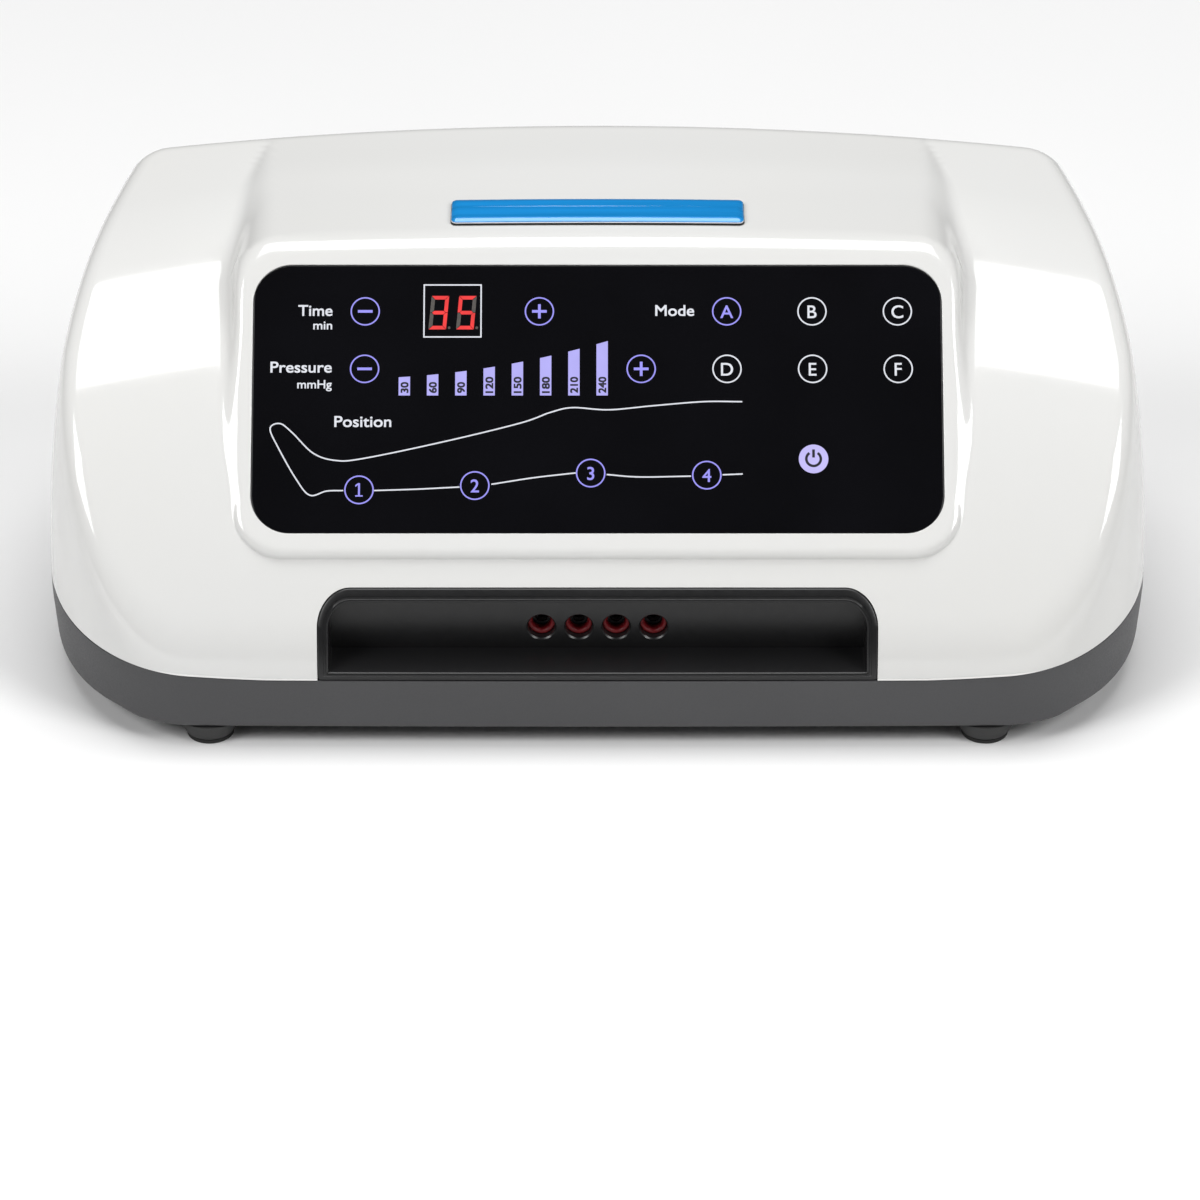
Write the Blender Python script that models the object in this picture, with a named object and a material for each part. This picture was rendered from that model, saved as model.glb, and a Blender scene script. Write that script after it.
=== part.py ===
"""Compression therapy pump: a desk console with a sloping glass touch panel and four air outlets.

Metres, +Z up. X runs along the front, the front faces -Y, and the origin is on the
surface that the feet stand on, under the middle of the case.
"""

from math import cos, pi, radians, sin, tan

import bmesh
import bpy
import numpy as np
from mathutils import Matrix, Vector

# General fits. OVERRUN is how far a cutter passes the face where it comes out.
GAP = 0.0003
OVERRUN = 0.005
SMOOTH_ANGLE = radians(35)
FINE_STEPS = 24
ROUND_STEPS = 16
COARSE_STEPS = 12
BEND_STEPS = 8

# Case: widths and depths are taken at the parting line between the two housings. That line
# is level in the middle and rises towards the ends.
CASE_WIDTH = 0.404
CASE_DEPTH = 0.194
WALL = 0.003
BASE_DEPTH = 0.0212
FOOT_DROP = 0.0083
FRONT_CORNER_ACROSS = 0.0557
FRONT_CORNER_BACK = 0.0768
REAR_CORNER = 0.0105
WIDEST_BACK = 0.0741
SIDE_TAPER = 0.0197
SIDE_LEAN = 0.0174
FRONT_BOW = 0.0008
REAR_BOW = 0.0022
REAR_LEAN_SHARE = 0.57
WALL_EDGE_BLEND = 0.007
PARTING_RISE = 0.0066
PARTING_RISE_START = 0.117
PARTING_RISE_POWER = 1.4

# Front face, hood and flanks of the upper housing. The hood carries the panel, and
# the flanks beside it are lower and meet it again at the back.
LIP_HEIGHT = 0.007
FRONT_SLOPE = radians(60)
PANEL_SLOPE = radians(46)
HOOD_SLOPE = radians(4)
HOOD_REAR_INSET = 0.0124
HOOD_SIDE_TAPER = radians(12)
HOOD_SIDE_LEAN = radians(11)
HOOD_CORNER = 0.015
HOOD_CORNER_REAR = 0.005
HOOD_SIDE_BLEND = 0.003
CROWN_DROP = 0.014
CROWN_FRONT_SHARE = 0.25
FLANK_SLOPE = radians(44.8)
FLANK_TOP_SLOPE = radians(8)
FLANK_SETBACK = 0.00035
FLANK_CHIN_BLEND = 0.010
FLANK_SHOULDER_BLEND = 0.036
RIM_BLEND = 0.004
ROOT_BLEND = 0.0054
ROOT_FADE = 0.035

# Glass panel in the hood, with the white band of housing round it.
GLASS_WIDTH = 0.2482
GLASS_LENGTH = 0.0993
GLASS_CORNER = 0.014
GLASS_THICKNESS = 0.0025
GLASS_SINK = 0.0005
GLASS_LOW_BACK = 0.0247
GLASS_LOW_UP = 0.0472
FRAME_SIDE = 0.0074
FRAME_TOP = 0.0102
FRAME_BOTTOM = 0.009
FRAME_CORNER = 0.020
LEDGE_WIDTH = 0.005
LEDGE_THICKNESS = 0.004
LEDGE_ROOT = 0.003
BOARD_THICKNESS = 0.0016
BOARD_MARGIN = 0.002
DISPLAY_WIDTH = 0.0215
DISPLAY_LENGTH = 0.0195
DISPLAY_ACROSS = -0.0521
DISPLAY_UP = 0.0817

# Nameplate, left bare.
PLATE_WIDTH = 0.1068
PLATE_LENGTH = 0.016
PLATE_THICKNESS = 0.0016
PLATE_DOME = 0.0009
PLATE_SETBACK = 0.0086
PLATE_COLUMNS = 13
PLATE_ROWS = 4

# Outlet bay in the front face: bezel, port plate, manifold and seals.
BAY_WIDTH = 0.2006
BAY_HEIGHT = 0.0305
BAY_CORNER = 0.012
BEZEL_SIDE = 0.0041
BEZEL_TOP = 0.0046
BEZEL_SILL = 0.003
BEZEL_PROUD = 0.0003
BEZEL_BEAD = 0.0008
BAY_DEPTH = 0.018
PORT_PLATE_THICKNESS = 0.003
PORT_PITCH = 0.01345
PORT_RADIUS = 0.0049
PORT_HEIGHT = 0.0116
PORT_CHAMFER = 0.0005
PORT_COUNT = 4
SEAL_RADIUS = 0.005
SEAL_BORE = 0.0032
SEAL_LENGTH = 0.0038
SEAL_LIP = 0.0008
MANIFOLD_DEPTH = 0.0145
MANIFOLD_MARGIN = 0.0094
MANIFOLD_HALF_HEIGHT = 0.0092
BORE = 0.0016
BARB_RADIUS = 0.003
BARB_LENGTH = 0.010
HOSE_WALL = 0.0009
HOSE_SPAN = 0.027

# Valve block with one solenoid valve for each outlet.
VALVE_PITCH = 0.022
VALVE_BLOCK_DEPTH = 0.024
VALVE_BLOCK_HALF_HEIGHT = 0.0094
VALVE_BLOCK_END = 0.011
COIL_SIDE = 0.019
COIL_HEIGHT = 0.026
COIL_EDGE = 0.0015
PLUNGER_RADIUS = 0.0036
PLUNGER_LENGTH = 0.0195
PLUNGER_TRAVEL = 0.0025
PLUNGER_NOSE = 0.0012

# Linear diaphragm pump, lying front to back on four rubber mounts.
FEED_HOSE_LENGTH = 0.033
PUMP_WIDTH = 0.066
PUMP_BASE_THICKNESS = 0.003
PUMP_WALL_THICKNESS = 0.004
PUMP_WALL_RISE = 0.022
PUMP_REAR_CLEARANCE = 0.0275
HEAD_DEPTH = 0.012
HEAD_SIDE = 0.042
HEAD_CAVITY_DEPTH = 0.008
HEAD_EDGE = 0.002
DIAPHRAGM_RADIUS = 0.0195
DIAPHRAGM_THICKNESS = 0.002
PISTON_RADIUS = 0.012
PISTON_THICKNESS = 0.004
PISTON_CLEARANCE = 0.0004
ROD_RADIUS = 0.004
WALL_WINDOW_RADIUS = 0.0155
MAGNET_WIDTH = 0.012
MAGNET_END_CLEARANCE = 0.010
MAGNET_HEIGHT = 0.024
AIR_GAP = 0.0008
CORE_END_CLEARANCE = 0.005
CORE_STACK = 0.026
CORE_SPINE = 0.008
CORE_LEG = 0.014
WINDING_FILL_SHARE = 0.55
WINDING_LENGTH = 0.0115
WINDING_EDGE = 0.0015
MOUNT_RADIUS = 0.006
MOUNT_WAIST = 0.0045
MOUNT_INSET = 0.009
LINK_HOSE_REACH = 0.016

# Electronics on the floor of the lower housing.
MAIN_BOARD_LEFT = 0.062
MAIN_BOARD_SIDE_CLEARANCE = 0.044
MAIN_BOARD_LENGTH = 0.080
MAIN_BOARD_BACK = 0.104
STANDOFF_HEIGHT = 0.006
STANDOFF_RADIUS = 0.004
STANDOFF_INSET = 0.006
CAPACITOR_RADIUS = 0.008
CAPACITOR_HEIGHT = 0.022
CAPACITOR_PITCH = 0.024
RELAY_WIDTH = 0.018
RELAY_LENGTH = 0.028
RELAY_HEIGHT = 0.016
PART_SPACE = 0.002
CHIP_SIDE = 0.012
CHIP_HEIGHT = 0.002
HEADER_WIDTH = 0.030
HEADER_DEPTH = 0.007
HEADER_HEIGHT = 0.009
SOLDER_SINK = 0.0004
TRANSFORMER_ACROSS = 0.016
TRANSFORMER_REAR_INSET = 0.054
TRANSFORMER_WIDTH = 0.046
TRANSFORMER_LENGTH = 0.038
TRANSFORMER_HEIGHT = 0.038
TRANSFORMER_YOKE = 0.009
TRANSFORMER_EDGE = 0.0012

# Mains inlet and mains switch in the rear wall.
INLET_SIDE_INSET = 0.084
INLET_RISE = 0.024
INLET_WIDTH = 0.031
INLET_HEIGHT = 0.024
INLET_BODY_INSET = 0.0022
INLET_FLANGE = 0.002
INLET_DEPTH = 0.021
INLET_RIM = 0.002
INLET_CAVITY_DEPTH = 0.0165
INLET_CHAMFER = 0.005
PIN_WIDTH = 0.002
PIN_HEIGHT = 0.004
PIN_PITCH = 0.007
PIN_CLEAR = 0.0055
SWITCH_PITCH = 0.042
SWITCH_WIDTH = 0.017
SWITCH_HEIGHT = 0.024
SWITCH_BODY_INSET = 0.0012
SWITCH_WALL = 0.0015
SWITCH_DEPTH = 0.016
ROCKER_PIVOT_DEPTH = 0.0028
ROCKER_TILT = radians(10)
ROCKER_PROUD = 0.0003
ROCKER_BACK = 0.0075
ROCKER_SWING_CLEARANCE = 0.0006
POCKET_DEPTH = 0.0006

# Feet, pads and case screws.
FOOT_SIDE_INSET = 0.0615
FOOT_FRONT_INSET = 0.0125
FOOT_REAR_INSET = 0.017
FOOT_TOP_RADIUS = 0.0107
FOOT_MIDDLE_RADIUS = 0.0102
FOOT_BOTTOM_RADIUS = 0.0087
FOOT_SPIGOT_RADIUS = 0.0032
FOOT_HEAD_RADIUS = 0.0044
FOOT_HEAD_HEIGHT = 0.002
PAD_THICKNESS = 0.0015
PAD_RADIUS = 0.0085
PAD_EDGE = 0.0004
SCREW_SIDE_INSET = 0.046
SCREW_FRONT_INSET = 0.036
SCREW_REAR_INSET = 0.0215
POST_RADIUS = 0.0048
TUBE_RADIUS = 0.0064
SCREW_SHANK = 0.0017
SCREW_CLEARANCE = 0.0003
SCREW_HEAD_RADIUS = 0.0036
SCREW_HEAD_HEIGHT = 0.0024
SCREW_BITE = 0.011
SCREW_RECESS = 0.009
SCREW_SLOT_DEPTH = 0.0012
SCREW_SLOT_WIDTH = 0.001

# Lower housing details.
FLOOR_THICKNESS = 0.0025
TONGUE_RISE = 0.0025
TONGUE_WALL = 0.0013
TONGUE_ROOT = 0.004
BASE_DRAFT = 0.0013
BASE_EDGE = 0.002
RAMP_START_INSET = 0.009
RAMP_END_INSET = 0.007
GRIP_RISE = 0.0015
GRIP_RAMP = 0.011
GRIP_SIDE = 0.027
VENT_WIDTH = 0.003
VENT_LENGTH = 0.034
VENT_PITCH = 0.008
VENT_COUNT = 6

# Heights and places that follow from the sizes above.
BASE_UNDERSIDE = FOOT_DROP
FLOOR = BASE_UNDERSIDE + FLOOR_THICKNESS
PARTING = BASE_UNDERSIDE + BASE_DEPTH
FRONT = -CASE_DEPTH / 2
REAR = CASE_DEPTH / 2
HALF_WIDTH = CASE_WIDTH / 2
GLASS_LOW = np.array([0.0, FRONT + GLASS_LOW_BACK, PARTING + GLASS_LOW_UP])
PANEL_UP = np.array([0.0, cos(PANEL_SLOPE), sin(PANEL_SLOPE)])
PANEL_OUT = np.array([0.0, -sin(PANEL_SLOPE), cos(PANEL_SLOPE)])
HOOD_EDGE = GLASS_LOW + (GLASS_LENGTH + FRAME_TOP) * PANEL_UP
HOOD_END_BACK = REAR - HOOD_REAR_INSET
HOOD_RUN = HOOD_END_BACK - HOOD_EDGE[1]
HOOD_END_UP = HOOD_EDGE[2] + HOOD_RUN * tan(HOOD_SLOPE)
HOOD_HALF_WIDTH = GLASS_WIDTH / 2 + FRAME_SIDE
CASE_TOP = HOOD_END_UP
AIR_AXIS = PARTING + PORT_HEIGHT
BAY_BACK = FRONT + BAY_DEPTH
PORT_PLATE_BACK = BAY_BACK + GAP + PORT_PLATE_THICKNESS
MANIFOLD_FRONT = PORT_PLATE_BACK + GAP
MANIFOLD_BACK = MANIFOLD_FRONT + MANIFOLD_DEPTH
VALVE_BLOCK_FRONT = MANIFOLD_BACK + HOSE_SPAN
VALVE_BLOCK_BACK = VALVE_BLOCK_FRONT + VALVE_BLOCK_DEPTH
VALVE_BLOCK_MIDDLE = (VALVE_BLOCK_FRONT + VALVE_BLOCK_BACK) / 2
VALVE_BLOCK_TOP = AIR_AXIS + VALVE_BLOCK_HALF_HEIGHT
VALVE_BLOCK_HALF = (PORT_COUNT - 1) / 2 * VALVE_PITCH + VALVE_BLOCK_END
HOSE_RADIUS = BARB_RADIUS + GAP + HOSE_WALL
CORE_HALF_WIDTH = MAGNET_WIDTH / 2 + AIR_GAP + CORE_LEG + CORE_SPINE
PUMP_ACROSS = -(VALVE_BLOCK_HALF + FEED_HOSE_LENGTH + HEAD_SIDE / 2)
PUMP_FRONT = VALVE_BLOCK_MIDDLE - HEAD_DEPTH / 2
PUMP_END = HEAD_DEPTH + DIAPHRAGM_THICKNESS + PUMP_WALL_THICKNESS + 2 * GAP
PUMP_BAY_FRONT = PUMP_FRONT + PUMP_END
PUMP_BACK = REAR - PUMP_REAR_CLEARANCE
PUMP_BAY_LENGTH = PUMP_BACK - PUMP_END - PUMP_BAY_FRONT
PUMP_MIDDLE = PUMP_BAY_FRONT + PUMP_BAY_LENGTH / 2
CORE_LENGTH = PUMP_BAY_LENGTH - 2 * CORE_END_CLEARANCE
CORE_LEG_WIDTH = CORE_LENGTH / 5
WINDING_WALL = CORE_LEG_WIDTH * WINDING_FILL_SHARE
PUMP_BASE_TOP = AIR_AXIS - CORE_STACK / 2 - WINDING_WALL - 2 * GAP
PUMP_BASE_BOTTOM = PUMP_BASE_TOP - PUMP_BASE_THICKNESS
MAGNET_LENGTH = PUMP_BAY_LENGTH - 2 * MAGNET_END_CLEARANCE
MAIN_BOARD_WIDTH = HALF_WIDTH - MAIN_BOARD_SIDE_CLEARANCE - MAIN_BOARD_LEFT
MAIN_BOARD_ACROSS = MAIN_BOARD_LEFT + MAIN_BOARD_WIDTH / 2
TRANSFORMER_BACK = REAR - TRANSFORMER_REAR_INSET
INLET_ACROSS = HALF_WIDTH - INLET_SIDE_INSET
SWITCH_ACROSS = INLET_ACROSS - SWITCH_PITCH
STAR_CENTRE = np.array([0.0, 0.0, PARTING + (CASE_TOP - PARTING) / 5])

# Spokes run from the panel opening to the parting line, and these count the points
# on its long sides, short sides and corners.
SPOKE_STEPS = (18, 7, (8, 8, 4, 4))
BAY_STEPS = (8, 2, (1, 1, 4, 4))
CHAMFERED_STEPS = (1, 1, (1, 1, 1, 1))
BISECTIONS = 40
OUTER_COUNTS = (3, 5, 3)
INNER_COUNTS = (1, 2, 2)
FOOT_LINE_SHARES = (0.08, 0.8)
EDGE_SPREAD_SHARE = 0.015


# Fields. Each is negative inside the shape, and close to a distance near its surface.


def blend_max(a, b, radius):
    """The larger of two fields, with the edge between them rounded over this length."""
    near = np.maximum(radius - np.abs(a - b), 0)
    return np.maximum(a, b) + near * near / (4 * radius)


def blend_min(a, b, radius):
    """The smaller of two fields, with the corner between them filled."""
    return -blend_max(-a, -b, radius)


def arc_max(a, b, radius):
    """The larger of two fields, with an arc of this radius where they cross."""
    arc = np.hypot(np.maximum(a + radius, 0), np.maximum(b + radius, 0)) - radius
    return np.where((a > -radius) & (b > -radius), arc, np.maximum(a, b))


def fade(value, start, length):
    """0 before start, 1 after start + length, and smooth between them."""
    t = np.clip((value - start) / length, 0, 1)
    return t * t * (3 - 2 * t)


def slope_field(y, z, slope, through_y, through_z):
    """Height over a plane that rises backwards, measured square to it."""
    return cos(slope) * (z - through_z) - sin(slope) * (y - through_y)


def corner_field(across, along, radius_across, radius_along):
    """Distance past a corner arc, from two distances past the arc's centre."""
    size = (radius_across * radius_along) ** 0.5
    a = across / radius_across
    b = along / radius_along
    reach = np.hypot(np.maximum(a, 0), np.maximum(b, 0))
    return (reach + np.minimum(np.maximum(a, b), 0) - 1) * size


def wall_field(points):
    """The upright walls: rounded corners, sides that taper backwards and lean inwards."""
    x = np.abs(points[..., 0])
    back = points[..., 1] - FRONT
    up = points[..., 2] - PARTING
    lean = SIDE_LEAN * (np.maximum(up, 0) / (CASE_TOP - PARTING)) ** 2
    lean = lean + BASE_DRAFT * np.maximum(-up, 0) / BASE_DEPTH
    taper = SIDE_TAPER * (np.maximum(back - WIDEST_BACK, 0) / (CASE_DEPTH - WIDEST_BACK)) ** 2
    side = HALF_WIDTH - taper - lean
    front = FRONT_BOW * (x / (HALF_WIDTH - FRONT_CORNER_ACROSS)) ** 2 + lean
    rear = CASE_DEPTH - REAR_BOW * (x / HALF_WIDTH) ** 2 - REAR_LEAN_SHARE * lean
    front_arc = corner_field(
        x - side + FRONT_CORNER_ACROSS,
        front + FRONT_CORNER_BACK - back,
        FRONT_CORNER_ACROSS,
        FRONT_CORNER_BACK,
    )
    rear_arc = corner_field(
        x - side + REAR_CORNER, back - rear + REAR_CORNER, REAR_CORNER, REAR_CORNER
    )
    return np.maximum(front_arc, rear_arc)


def crown(x):
    """How far the top has fallen at this distance from the middle."""
    return CROWN_DROP * (x / HALF_WIDTH) ** 2


def parting_rise(x):
    """How far the parting line has risen at this distance from the middle."""
    share = np.maximum(np.abs(x) - PARTING_RISE_START, 0) / (HALF_WIDTH - PARTING_RISE_START)
    return PARTING_RISE * share**PARTING_RISE_POWER


def flank_field(points):
    """The front face and the low surfaces beside the hood."""
    x, y, z = np.moveaxis(points, -1, 0)
    face = slope_field(y, z, FRONT_SLOPE, FRONT, PARTING + LIP_HEIGHT)
    rise = slope_field(y, z, FLANK_SLOPE, GLASS_LOW[1] + FLANK_SETBACK, GLASS_LOW[2])
    top = slope_field(y, z + crown(x), FLANK_TOP_SLOPE, HOOD_END_BACK, HOOD_END_UP)
    return blend_max(blend_max(face, rise, FLANK_CHIN_BLEND), top, FLANK_SHOULDER_BLEND)


def hood_field(points):
    """The raised hood: the panel's plane, the top, and sides that close in backwards."""
    x, y, z = np.moveaxis(points, -1, 0)
    panel = slope_field(y, z, PANEL_SLOPE, GLASS_LOW[1], GLASS_LOW[2])
    back = np.clip((y - HOOD_EDGE[1]) / HOOD_RUN, 0, 1)
    fall = crown(x) * (CROWN_FRONT_SHARE + (1 - CROWN_FRONT_SHARE) * back)
    top = slope_field(y, z + fall, HOOD_SLOPE, HOOD_EDGE[1], HOOD_EDGE[2])
    closing = np.maximum(y - HOOD_EDGE[1], 0) * tan(HOOD_SIDE_TAPER)
    side = np.abs(x) - HOOD_HALF_WIDTH + closing + panel * tan(HOOD_SIDE_LEAN)
    along = (points - GLASS_LOW) @ PANEL_UP
    chin = -FRAME_BOTTOM - along
    corner = HOOD_CORNER + (HOOD_CORNER_REAR - HOOD_CORNER) * fade(y, HOOD_EDGE[1], HOOD_RUN)
    edge = blend_max(
        arc_max(side, chin, FRAME_CORNER), arc_max(side, top, corner), HOOD_SIDE_BLEND
    )
    return blend_max(panel, edge, RIM_BLEND)


def case_field(points):
    """The whole outside of the upper housing."""
    y = points[..., 1]
    rise = fade(y, GLASS_LOW[1], ROOT_FADE) * (1 - fade(y, HOOD_END_BACK - ROOT_FADE, ROOT_FADE))
    root = GAP + ROOT_BLEND * rise
    body = blend_min(flank_field(points), hood_field(points), root)
    return blend_max(wall_field(points), body, WALL_EDGE_BLEND)


def solve(starts, directions, field, level, reach):
    """The points along straight lines where a field reaches a level, by bisection."""
    near = np.zeros(len(directions))
    far = np.full(len(directions), reach)
    for _ in range(BISECTIONS):
        middle = (near + far) / 2
        inside = field(starts + middle[:, None] * directions) < level
        near = np.where(inside, middle, near)
        far = np.where(inside, far, middle)
    return starts + near[:, None] * directions


def height_at(x, y, inset=0.0):
    """Height of the housing's top surface over points of the plan."""
    x, y = np.broadcast_arrays(np.asarray(x, float), np.asarray(y, float))
    starts = np.stack([x.ravel(), y.ravel(), np.full(x.size, PARTING)], axis=1)
    up = np.tile([0.0, 0.0, 1.0], (x.size, 1))
    return solve(starts, up, case_field, -inset, CASE_WIDTH)[:, 2].reshape(x.shape)


def rear_face_at(x, z):
    """Where the rear wall's outside lies, in Y."""
    start = np.array([[x, 0.0, z]])
    return solve(start, np.array([[0.0, 1.0, 0.0]]), case_field, 0.0, CASE_DEPTH)[0, 1]


# Outlines, as closed rings of points that run anticlockwise from the low left corner.


def rounded_outline(low, high, corners, steps=SPOKE_STEPS):
    """A rectangle with elliptic corners, one (across, along) pair for each corner."""
    long_steps, short_steps, corner_steps = steps
    (x0, y0), (x1, y1) = low, high
    ring = []
    spots = ((x0, y0, 180), (x1, y0, 270), (x1, y1, 0), (x0, y1, 90))
    for index, (x, y, first) in enumerate(spots):
        across, along = corners[index]
        centre_x = x + (across if x == x0 else -across)
        centre_y = y + (along if y == y0 else -along)
        for step in range(corner_steps[index] + 1):
            angle = radians(first + 90 * step / corner_steps[index])
            ring.append((centre_x + across * cos(angle), centre_y + along * sin(angle)))
        following = spots[(index + 1) % 4]
        next_across, next_along = corners[(index + 1) % 4]
        start = np.array(ring[-1])
        if y == following[1]:
            toward = 1 if following[0] > x else -1
            stop = np.array([following[0] - toward * next_across, y])
            count = long_steps
        else:
            toward = 1 if following[1] > y else -1
            stop = np.array([x, following[1] - toward * next_along])
            count = short_steps
        for step in range(1, count):
            ring.append(tuple(start + (stop - start) * step / count))
    return np.array(ring)


def even_corners(radius):
    return ((radius, radius),) * 4


def panel_points(outline, depth):
    """Points of a flat outline laid on the panel's plane, this deep under it."""
    across = outline[:, :1] * np.array([1.0, 0.0, 0.0])
    return GLASS_LOW + across + outline[:, 1:] * PANEL_UP - depth * PANEL_OUT


def glass_outline(offset):
    """The glass's outline, moved out by an offset."""
    half = GLASS_WIDTH / 2 + offset
    corner = GLASS_CORNER + offset
    return rounded_outline((-half, -offset), (half, GLASS_LENGTH + offset), even_corners(corner))


def plan_directions():
    """Level directions from the middle to evenly placed points of the plan outline."""
    front = (FRONT_CORNER_ACROSS, FRONT_CORNER_BACK)
    rear = (REAR_CORNER, REAR_CORNER)
    plan = rounded_outline((-HALF_WIDTH, FRONT), (HALF_WIDTH, REAR), (front, front, rear, rear))
    flat = np.column_stack([plan, np.zeros(len(plan))])
    return flat / np.linalg.norm(flat, axis=1)[:, None]


def plan_ring(z, inset):
    """The walls' outline at one height, moved inwards by an inset."""
    directions = plan_directions()
    starts = np.tile([0.0, 0.0, z], (len(directions), 1))
    return solve(starts, directions, wall_field, -inset, CASE_WIDTH)


def parting_ring(above, inset):
    """The walls' outline this far above the parting line, moved inwards by an inset."""

    def risen_field(points):
        rise = parting_rise(points[:, :1]) * np.array([0.0, 0.0, 1.0])
        return wall_field(points + rise)

    directions = plan_directions()
    starts = np.tile([0.0, 0.0, PARTING + above], (len(directions), 1))
    ring = solve(starts, directions, risen_field, -inset, CASE_WIDTH)
    ring[:, 2] += parting_rise(ring[:, 0])
    return ring


def aim(points):
    """Unit directions from the star centre to some points."""
    away = points - STAR_CENTRE
    return away / np.linalg.norm(away, axis=1)[:, None]


def on_fan(first, last, share, inset):
    """Points of the case's surface, part of the way round from one ring to another."""
    start, stop = aim(first), aim(last)
    angle = np.arccos(np.clip((start * stop).sum(axis=1), -1, 1))[:, None]
    share = np.reshape(share, (-1, 1))
    turned = (np.sin((1 - share) * angle) * start + np.sin(share * angle) * stop) / np.sin(angle)
    starts = np.tile(STAR_CENTRE, (len(start), 1))
    return solve(starts, turned, case_field, -inset, CASE_WIDTH)


def crossing(first, last, difference, inset):
    """The share at which each spoke of the fan crosses to where a difference is positive."""
    near = np.zeros(len(first))
    far = np.ones(len(first))
    for _ in range(BISECTIONS // 2):
        middle = (near + far) / 2
        passed = difference(on_fan(first, last, middle, inset)) > 0
        near = np.where(passed, near, middle)
        far = np.where(passed, middle, far)
    return near


def past_hood(points):
    return hood_field(points) - flank_field(points)


def past_edge(points):
    return wall_field(points) - np.minimum(hood_field(points), flank_field(points))


def fan_rings(first, last, counts, inset):
    """Rings on the case's surface between two others. They gather at the hood's foot and at
    the edge over the walls, and run straight down the walls. The counts are of the steps
    between those lines."""
    to_foot, to_edge, to_rim = counts
    zenith = np.tile(STAR_CENTRE + (0, 0, 1), (len(last), 1))
    edge = crossing(zenith, last, past_edge, inset)
    above = edge - EDGE_SPREAD_SHARE
    below = edge + np.minimum(EDGE_SPREAD_SHARE, (1 - edge) / 2)
    brow = on_fan(zenith, last, above, inset)
    foot = np.clip(crossing(first, brow, past_hood, inset), *FOOT_LINE_SHARES)
    over = [foot * step / to_foot for step in range(1, to_foot + 1)]
    over += [foot + (1 - foot) * step / to_edge for step in range(1, to_edge)]
    down = [below + (1 - below) * step / to_rim for step in range(to_rim)]
    rings = [on_fan(first, brow, share, inset) for share in over]
    return rings + [brow] + [on_fan(zenith, last, share, inset) for share in [edge, *down]]


# Objects and materials.


def clear_scene():
    for obj in list(bpy.data.objects):
        bpy.data.objects.remove(obj, do_unlink=True)


MATERIALS = {
    "shell_white": ((0.86, 0.86, 0.85), 0.12, 0.0),
    "base_grey": ((0.055, 0.055, 0.058), 0.55, 0.0),
    "panel_glass": ((0.005, 0.005, 0.006), 0.04, 0.0),
    "bezel_black": ((0.015, 0.015, 0.015), 0.32, 0.0),
    "plate_blue": ((0.0, 0.2, 0.56), 0.2, 0.0),
    "seal_red": ((0.22, 0.01, 0.015), 0.5, 0.0),
    "rubber_black": ((0.012, 0.012, 0.012), 0.8, 0.0),
    "foot_grey": ((0.03, 0.03, 0.032), 0.5, 0.0),
    "light_guide": ((0.7, 0.7, 0.75), 0.4, 0.0),
    "display_dark": ((0.03, 0.01, 0.01), 0.4, 0.0),
    "board_green": ((0.01, 0.1, 0.04), 0.45, 0.0),
    "valve_plastic": ((0.75, 0.74, 0.7), 0.4, 0.0),
    "hose_clear": ((0.6, 0.62, 0.62), 0.3, 0.0),
    "winding_copper": ((0.6, 0.26, 0.09), 0.4, 0.6),
    "core_steel": ((0.25, 0.25, 0.27), 0.4, 0.9),
    "frame_alloy": ((0.6, 0.6, 0.62), 0.35, 0.9),
    "screw_steel": ((0.5, 0.5, 0.5), 0.3, 1.0),
    "switch_black": ((0.02, 0.02, 0.02), 0.4, 0.0),
}


def material(name):
    """The Principled material of this name, made at its first use."""
    found = bpy.data.materials.get(name)
    if found:
        return found
    colour, roughness, metallic = MATERIALS[name]
    made = bpy.data.materials.new(name)
    made.use_nodes = True
    shader = made.node_tree.nodes["Principled BSDF"]
    shader.inputs["Base Color"].default_value = (*colour, 1)
    shader.inputs["Roughness"].default_value = roughness
    shader.inputs["Metallic"].default_value = metallic
    return made


def add_object(name, bm, finish=None):
    """A mesh object from a bmesh. Without a finish it is a cutter or other helper."""
    bmesh.ops.recalc_face_normals(bm, faces=bm.faces[:])
    mesh = bpy.data.meshes.new(name)
    bm.to_mesh(mesh)
    bm.free()
    obj = bpy.data.objects.new(name, mesh)
    bpy.context.scene.collection.objects.link(obj)
    if finish:
        mesh.materials.append(material(finish))
        mesh.shade_smooth()
        mesh.set_sharp_from_angle(angle=SMOOTH_ANGLE)
    else:
        obj.hide_render = True
        obj.display_type = "WIRE"
    return obj


def helper(bm):
    return add_object("helper", bm)


def combine(obj, tool, operation="DIFFERENCE"):
    """A Boolean of one object with a helper, kept as a modifier."""
    modifier = obj.modifiers.new(operation.lower(), "BOOLEAN")
    modifier.operation = operation
    modifier.solver = "EXACT"
    modifier.object = tool


def loft(bm, rings, closed):
    """Quads between rings of equal length. Closed, the last ring joins the first."""
    rows = [[bm.verts.new(point) for point in ring] for ring in rings]
    pairs = list(zip(rows, rows[1:]))
    if closed:
        pairs.append((rows[-1], rows[0]))
    else:
        bm.faces.new(rows[0])
        bm.faces.new(rows[-1])
    for low, high in pairs:
        for i in range(len(low)):
            j = (i + 1) % len(low)
            bm.faces.new((low[i], low[j], high[j], high[i]))


def add_box(bm, low, high, edge=0.0):
    """A box between two corners, its edges chamfered by edge."""
    low, high = Vector(low), Vector(high)
    scale = Matrix.Diagonal((*(high - low), 1))
    made = bmesh.ops.create_cube(bm, size=1, matrix=Matrix.Translation((low + high) / 2) @ scale)
    if edge:
        edges = list({e for v in made["verts"] for e in v.link_edges})
        bmesh.ops.bevel(bm, geom=edges, offset=edge, segments=1, affect="EDGES")


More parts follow.
